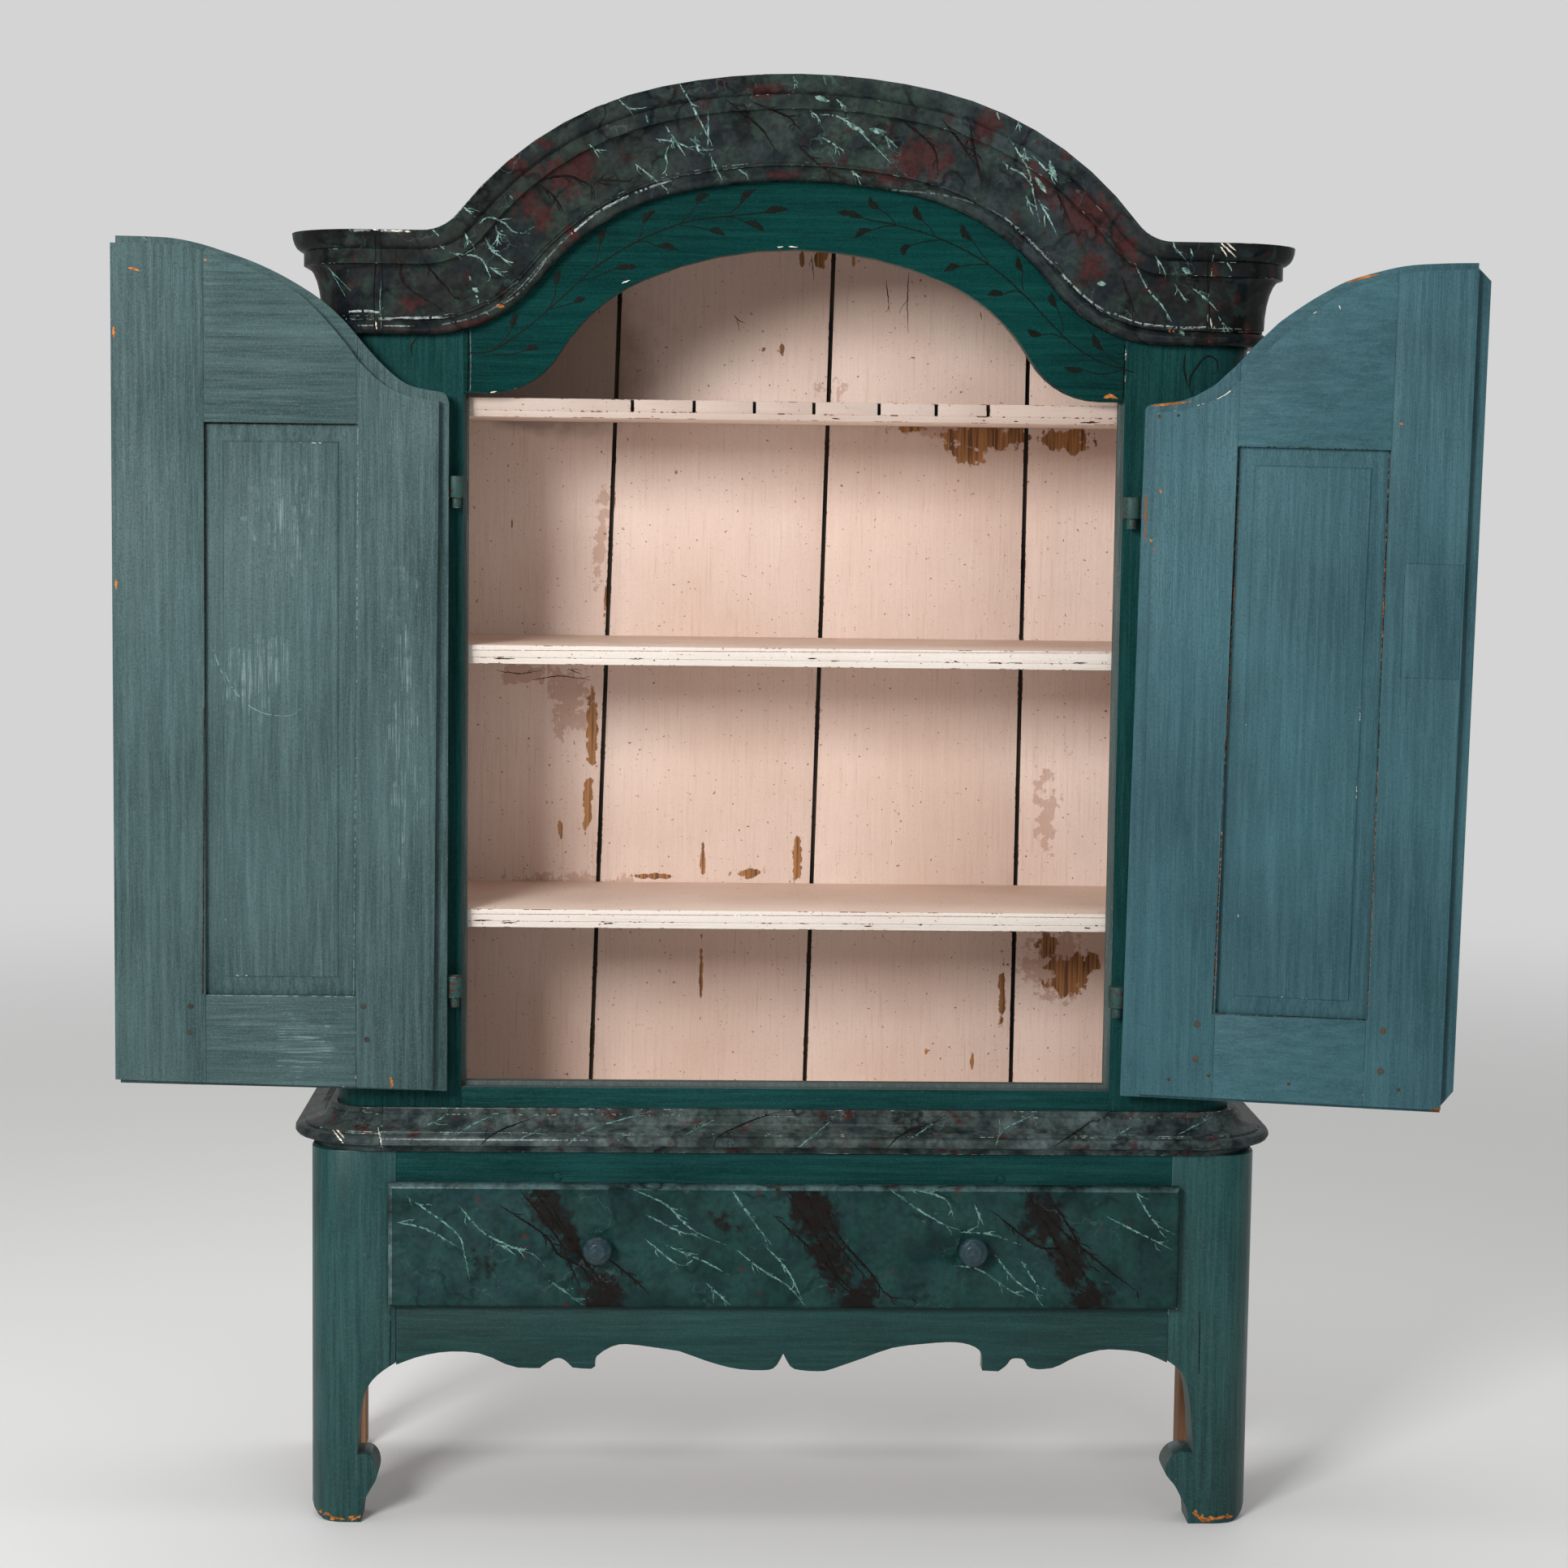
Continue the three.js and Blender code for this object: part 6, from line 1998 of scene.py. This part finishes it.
@dataclass
class Decoration:
    """What the small brush added to the case and the drawer: veins in the marbling, vines and scrolls, with
    painted highlights and rubbed places along the cornice's bead.
    """

    vein_width: float = 2.3
    thin_width: float = 1.2

    def strokes(self) -> list[Strokes]:
        """Lists every set of strokes.

        Returns:
            The sets, each with its paint, its body, its pieces, its paths and its width.
        """
        cornice = ("marbled_paint", "case", CORNICE)
        waist = ("marbled_paint", "case", WAIST)
        drawer = ("drawer_paint", "drawer", ("drawer_front",))
        green = ("green_paint", "case", FRIEZE)
        black, pale, deep, leaf = "black_brown_oil", "pale_aqua_oil", "deep_aqua_oil", "dark_leaf_oil"
        grey, even, blob = "rubbed_grey_oil", Shape.EVEN, Shape.BLOB
        wide, thin = self.vein_width, self.thin_width
        return [
            Strokes("cornice_black_veins", black, *cornice, CORNICE_BLACK, 3.4, wobble=1.4, twigs=4),
            Strokes("cornice_aqua_veins", pale, *cornice, CORNICE_AQUA, wide, Shape.VEIN, 1.2, 2, 0.04),
            Strokes("cornice_aqua_blobs", pale, *cornice, CORNICE_AQUA_BLOBS, 6.0, blob, 1.8),
            Strokes("cornice_thin_veins", deep, *cornice, CORNICE_THIN, thin),
            Strokes("cornice_joint_lines", "black_gap", *cornice, CORNICE_JOINTS, 1.4, even, 0.5),
            # Painted highlights along the cornice's bead, drawn as light strokes
            Strokes("cornice_worn_bead", "gloss_light_oil", *cornice, CORNICE_PAINTED_HIGHLIGHTS, 3.2, even, 0.8, 0, 0.08),
            # Rubbed paint and painted highlight along the cornice's bead
            Strokes("cornice_rubbed_bead", grey, *cornice, CORNICE_RUBBED_AND_HIGHLIGHT, 2.2, even, 0.8, 0, 0.1),
            Strokes("cornice_orange_chips", "orange_wood", *cornice, ORANGE_CHIPS, 4.5, blob),
            Strokes("waist_black_veins", black, *waist, WAIST_BLACK, wide, wobble=1.0, twigs=2),
            Strokes("waist_aqua_veins", deep, *waist, WAIST_AQUA, 2.0, wobble=1.2, twigs=2, broken=0.05),
            Strokes("waist_white_chips", "white_ground", *waist, WAIST_WHITE, 2.2, blob, 1.0),
            Strokes("drawer_black_veins", black, *drawer, DRAWER_BLACK, 3.2, wobble=1.6, twigs=7),
            Strokes("drawer_aqua_veins", deep, *drawer, DRAWER_AQUA, 2.4, wobble=1.4, twigs=3, broken=0.04),
            Strokes("vine_stems", leaf, *green, VINE_STEMS, 2.2, even, 0.3),
            Strokes("vine_twigs", leaf, *green, VINE_TWIGS, 1.5, even, 0.3),
            Strokes("vine_leaves", leaf, *green, VINE_LEAVES, 9.5, Shape.LEAF, 0.2),
            Strokes("corner_scrolls", leaf, *green, SCROLLS, 3.0, Shape.VEIN, 0.3),
        ]


@dataclass
class Wear:
    """Where use and age show: chips, scratches, rubbed edges and dark joints, with painted shade and painted
    highlights among them.
    """

    edge_chips: int = 26
    shelf_chips: int = 9

    def case(self) -> list[Strokes]:
        """Lists the wear of the cornice, the frieze, the boards, the shelves and the feet.

        Returns:
            The sets of strokes.
        """
        cornice = ("marbled_paint", "case", CORNICE)
        green = ("green_paint", "case", FRIEZE)
        pink = ("pink_paint", "case", BACK)
        shelf = ("pink_paint", "case", SHELVES)
        feet = ("green_paint", "case", FEET)
        specks = chips_along(CORNICE_TOP_EDGE, self.edge_chips, 9.0, 1.2, 0)
        edges = chips_along(SHELF_EDGES, self.shelf_chips, 26.0, 3.0, 20)
        legs = chips_along(FOOT_WORN, self.edge_chips, 12.0, 3.0, 40)
        even, blob = Shape.EVEN, Shape.BLOB
        return [
            Strokes("cornice_edge_specks", "white_ground", *cornice, specks, 1.8, blob),
            Strokes("cornice_joint_chips", "white_ground", *cornice, CORNICE_CHIPS, 2.0, blob, 1.0),
            Strokes("frieze_joint_gaps", "black_gap", *green, FRIEZE_JOINTS, 1.8, even, 0.3),
            Strokes("frieze_joint_light", "rubbed_grey_oil", *green, FRIEZE_LIGHT, 1.2, even, 0.4),
            Strokes("frieze_white_chips", "white_ground", *green, FRIEZE_CHIPS, 1.6, blob, 0.8),
            Strokes("frieze_orange_chip", "orange_wood", *green, FRIEZE_ORANGE, 5.0, blob, 0.8),
            Strokes("board_scratches", "brown_dirt", *pink, BOARD_SCRATCHES, 1.3, Shape.VEIN, 1.2, twigs=1),
            Strokes("shelf_edge_chips", "brown_dirt", *shelf, edges, 1.8, blob, 0.6),
            # Painted shade along the shelves' beads
            Strokes("shelf_bead_lines", "tan_dust", *shelf, SHELF_BEADS, 1.1, even, 0.4, broken=0.02),
            Strokes("base_joint_gaps", "black_gap", *feet, BASE_JOINTS, 1.2, even, 0.3),
            Strokes("foot_worn_wood", "orange_wood", *feet, legs, 3.0, blob, 0.8),
        ]

    def doors(self) -> list[Strokes]:
        """Lists the wear of both doors.

        Returns:
            The sets of strokes.
        """
        left = ("door_paint", "left_door", door_pieces("left"))
        right = ("door_paint", "right_door", (*door_pieces("right"), "right_door_repair_patch"))
        dirt, orange, scratch, cream = "brown_dirt", "orange_wood", "pale_scratch", "cream_oil"
        vein, even, blob = Shape.VEIN, Shape.EVEN, Shape.BLOB
        return [
            Strokes("left_panel_dark_lines", dirt, *left, LEFT_PANEL_LINES, 2.2, even, 0.3),
            # Painted highlights on the left panel's edges, in the same pale colour as the scratches
            Strokes("left_panel_light_lines", scratch, *left, LEFT_PANEL_SHINE, 1.4, even, 0.3, broken=0.3),
            Strokes("left_door_orange_chips", orange, *left, LEFT_DOOR_ORANGE, 3.2, blob, 0.8),
            Strokes("left_door_scratches", scratch, *left, LEFT_DOOR_PALE, 1.6, vein, 1.0, broken=0.15),
            Strokes("right_panel_worn_lines", dirt, *right, RIGHT_PANEL_LINES, 1.8, even, 0.3, broken=0.05),
            Strokes("right_panel_orange_lines", orange, *right, RIGHT_PANEL_ORANGE, 1.1, vein, 0.9, 0, 0.3),
            Strokes("right_door_cream_edge", cream, *right, RIGHT_DOOR_EDGE, 1.2, even, 0.4, broken=0.15),
            Strokes("right_door_cream_chips", cream, *right, RIGHT_DOOR_CREAM, 1.4, blob, 0.8),
            Strokes("right_door_orange_chips", orange, *right, RIGHT_DOOR_ORANGE, 3.0, blob, 0.8),
        ]

    def studs(self) -> list[Studs]:
        """Lists the pegs and nails of the joints.

        Returns:
            The sets of studs.
        """
        left = ("door_paint", "left_door", door_pieces("left"))
        right = ("door_paint", "right_door", door_pieces("right"))
        iron = ("painted_iron", "right_door", door_pieces("right"))
        feet = ("green_paint", "case", FEET)
        return [
            Studs("left_door_peg_ends", "worn_peg_wood", *left, LEFT_DOOR_PEGS, 3.6, 0.6),
            Studs("right_door_peg_ends", "worn_peg_wood", *right, RIGHT_DOOR_PEGS, 4.4, 0.6),
            Studs("right_door_nails", "rusty_nail_iron", *iron, RIGHT_DOOR_NAILS, 2.2, 0.7),
            Studs("base_peg_ends", "leg_oil_paint_upright", *feet, BASE_PEGS, 5.0, 0.9),
        ]


@dataclass(frozen=True)
class Lamp:
    """A square soft light: its place in millimetres, its side in metres and its power in watts."""

    name: str
    place_mm: tuple[float, float, float]
    side_m: float
    watts: float

    def build(self, aim: Vector) -> None:
        """Adds the light.

        Args:
            aim: What it points at.
        """
        data = bpy.data.lights.new(self.name, "AREA")
        data.size = self.side_m
        data.energy = self.watts
        place = at(*self.place_mm)
        turned = (aim - place).to_track_quat("-Z", "Y").to_matrix().to_4x4()
        show(self.name, data).matrix_world = Matrix.Translation(place) @ turned


@dataclass
class Studio:
    """The lights, the floor and the surroundings."""

    lamps: tuple[Lamp, ...] = (
        Lamp("key", (-2150, -4000, 2600), 1.3, 214),
        Lamp("fill", (1500, -4300, 2700), 2.4, 30),
        Lamp("top", (0, 300, 4300), 2.5, 70),
    )
    aim_mm: tuple[float, float, float] = (0, 0, 1100)
    floor_colour: str = "#D8D8D7"
    floor_roughness: float = 0.7
    floor_half_m: float = 60.0
    fade_start_m: float = 2.2
    fade_end_m: float = 7.0
    surroundings: str = "#D4D4D4"
    ambient_before: float = 0.12
    ambient_behind: float = 1.3

    def build_floor(self) -> None:
        """Adds the plain pale floor, which fades into the surroundings far away."""
        mesh = bpy.data.meshes.new("floor")
        far = self.floor_half_m
        mesh.from_pydata([(-far, -far, 0), (far, -far, 0), (far, far, 0), (-far, far, 0)], [], [(0, 1, 2, 3)])
        floor = show("floor", mesh)
        mix = Recipe("pale_floor_paint", self.floor_colour)
        tree = mix.tree
        place = put(tree, PLACE, out="Object")
        away = put(tree, "ShaderNodeVectorMath", {0: place}, "Value", operation="LENGTH")
        ends = {"Value": away, "From Min": self.fade_start_m, "From Max": self.fade_end_m}
        faded = put(tree, RANGE, ends, interpolation_type="SMOOTHSTEP")
        haze = put(tree, "ShaderNodeEmission", {"Color": linear(self.surroundings)})
        mixed = put(tree, "ShaderNodeMixShader", {0: faded, 1: mix.shader.outputs[0], 2: haze})
        fill(tree.nodes["Material Output"], {"Surface": mixed})
        mesh.materials.append(mix.done({"Roughness": self.floor_roughness}))

    def build_world(self) -> None:
        """Sets an even pale surrounding, which lights the cupboard more weakly than it looks."""
        world = bpy.data.worlds.new("studio")
        bpy.context.scene.world = world
        world.use_nodes = True
        tree = world.node_tree
        seen = put(tree, "ShaderNodeLightPath", out="Is Camera Ray")
        behind = put(tree, "ShaderNodeSeparateXYZ", {0: put(tree, PLACE, out="Generated")}, "Y")
        spread = {"From Min": -1.0, "To Min": self.ambient_before, "To Max": self.ambient_behind}
        strength = put(tree, RANGE, {"Value": behind, **spread})
        shown = put(tree, MIX, {0: seen, 2: strength, 3: 1.0}, data_type="FLOAT")
        fill(tree.nodes["Background"], {"Color": linear(self.surroundings), "Strength": shown})
        bpy.context.scene.view_settings.view_transform = "Standard"

    def build(self) -> None:
        """Builds the whole studio."""
        self.build_floor()
        self.build_world()
        for lamp in self.lamps:
            lamp.build(at(*self.aim_mm))


def main() -> None:
    """Builds the camera, the studio and the cupboard."""
    CAMERA.build()
    finishes = Finishes()
    Studio().build()
    assemblies = [Base(), Case(), Mouldings(), Pintles(), Drawer()]
    assemblies += [Door("left", UPRIGHT_LEFT, LEVEL_LEFT), Door("right", UPRIGHT_RIGHT, LEVEL_RIGHT)]
    pieces = {}
    for assembly in assemblies:
        for board in assembly.boards():
            piece = board.build(finishes)
            pieces[board.node] = piece
            log.info("%s: %s, %d faces", type(assembly).__name__, board.node, len(piece.data.polygons))
    for side in ("left", "right"):
        Knob(f"{side}_drawer_knob").build(finishes)
    painter = Painter(finishes, pieces)
    wear = Wear()
    for strokes in [*Decoration().strokes(), *wear.case(), *wear.doors()]:
        painter.paint(strokes)
    for studs in wear.studs():
        studs.build(painter)


if __name__ == "__main__":
    main()
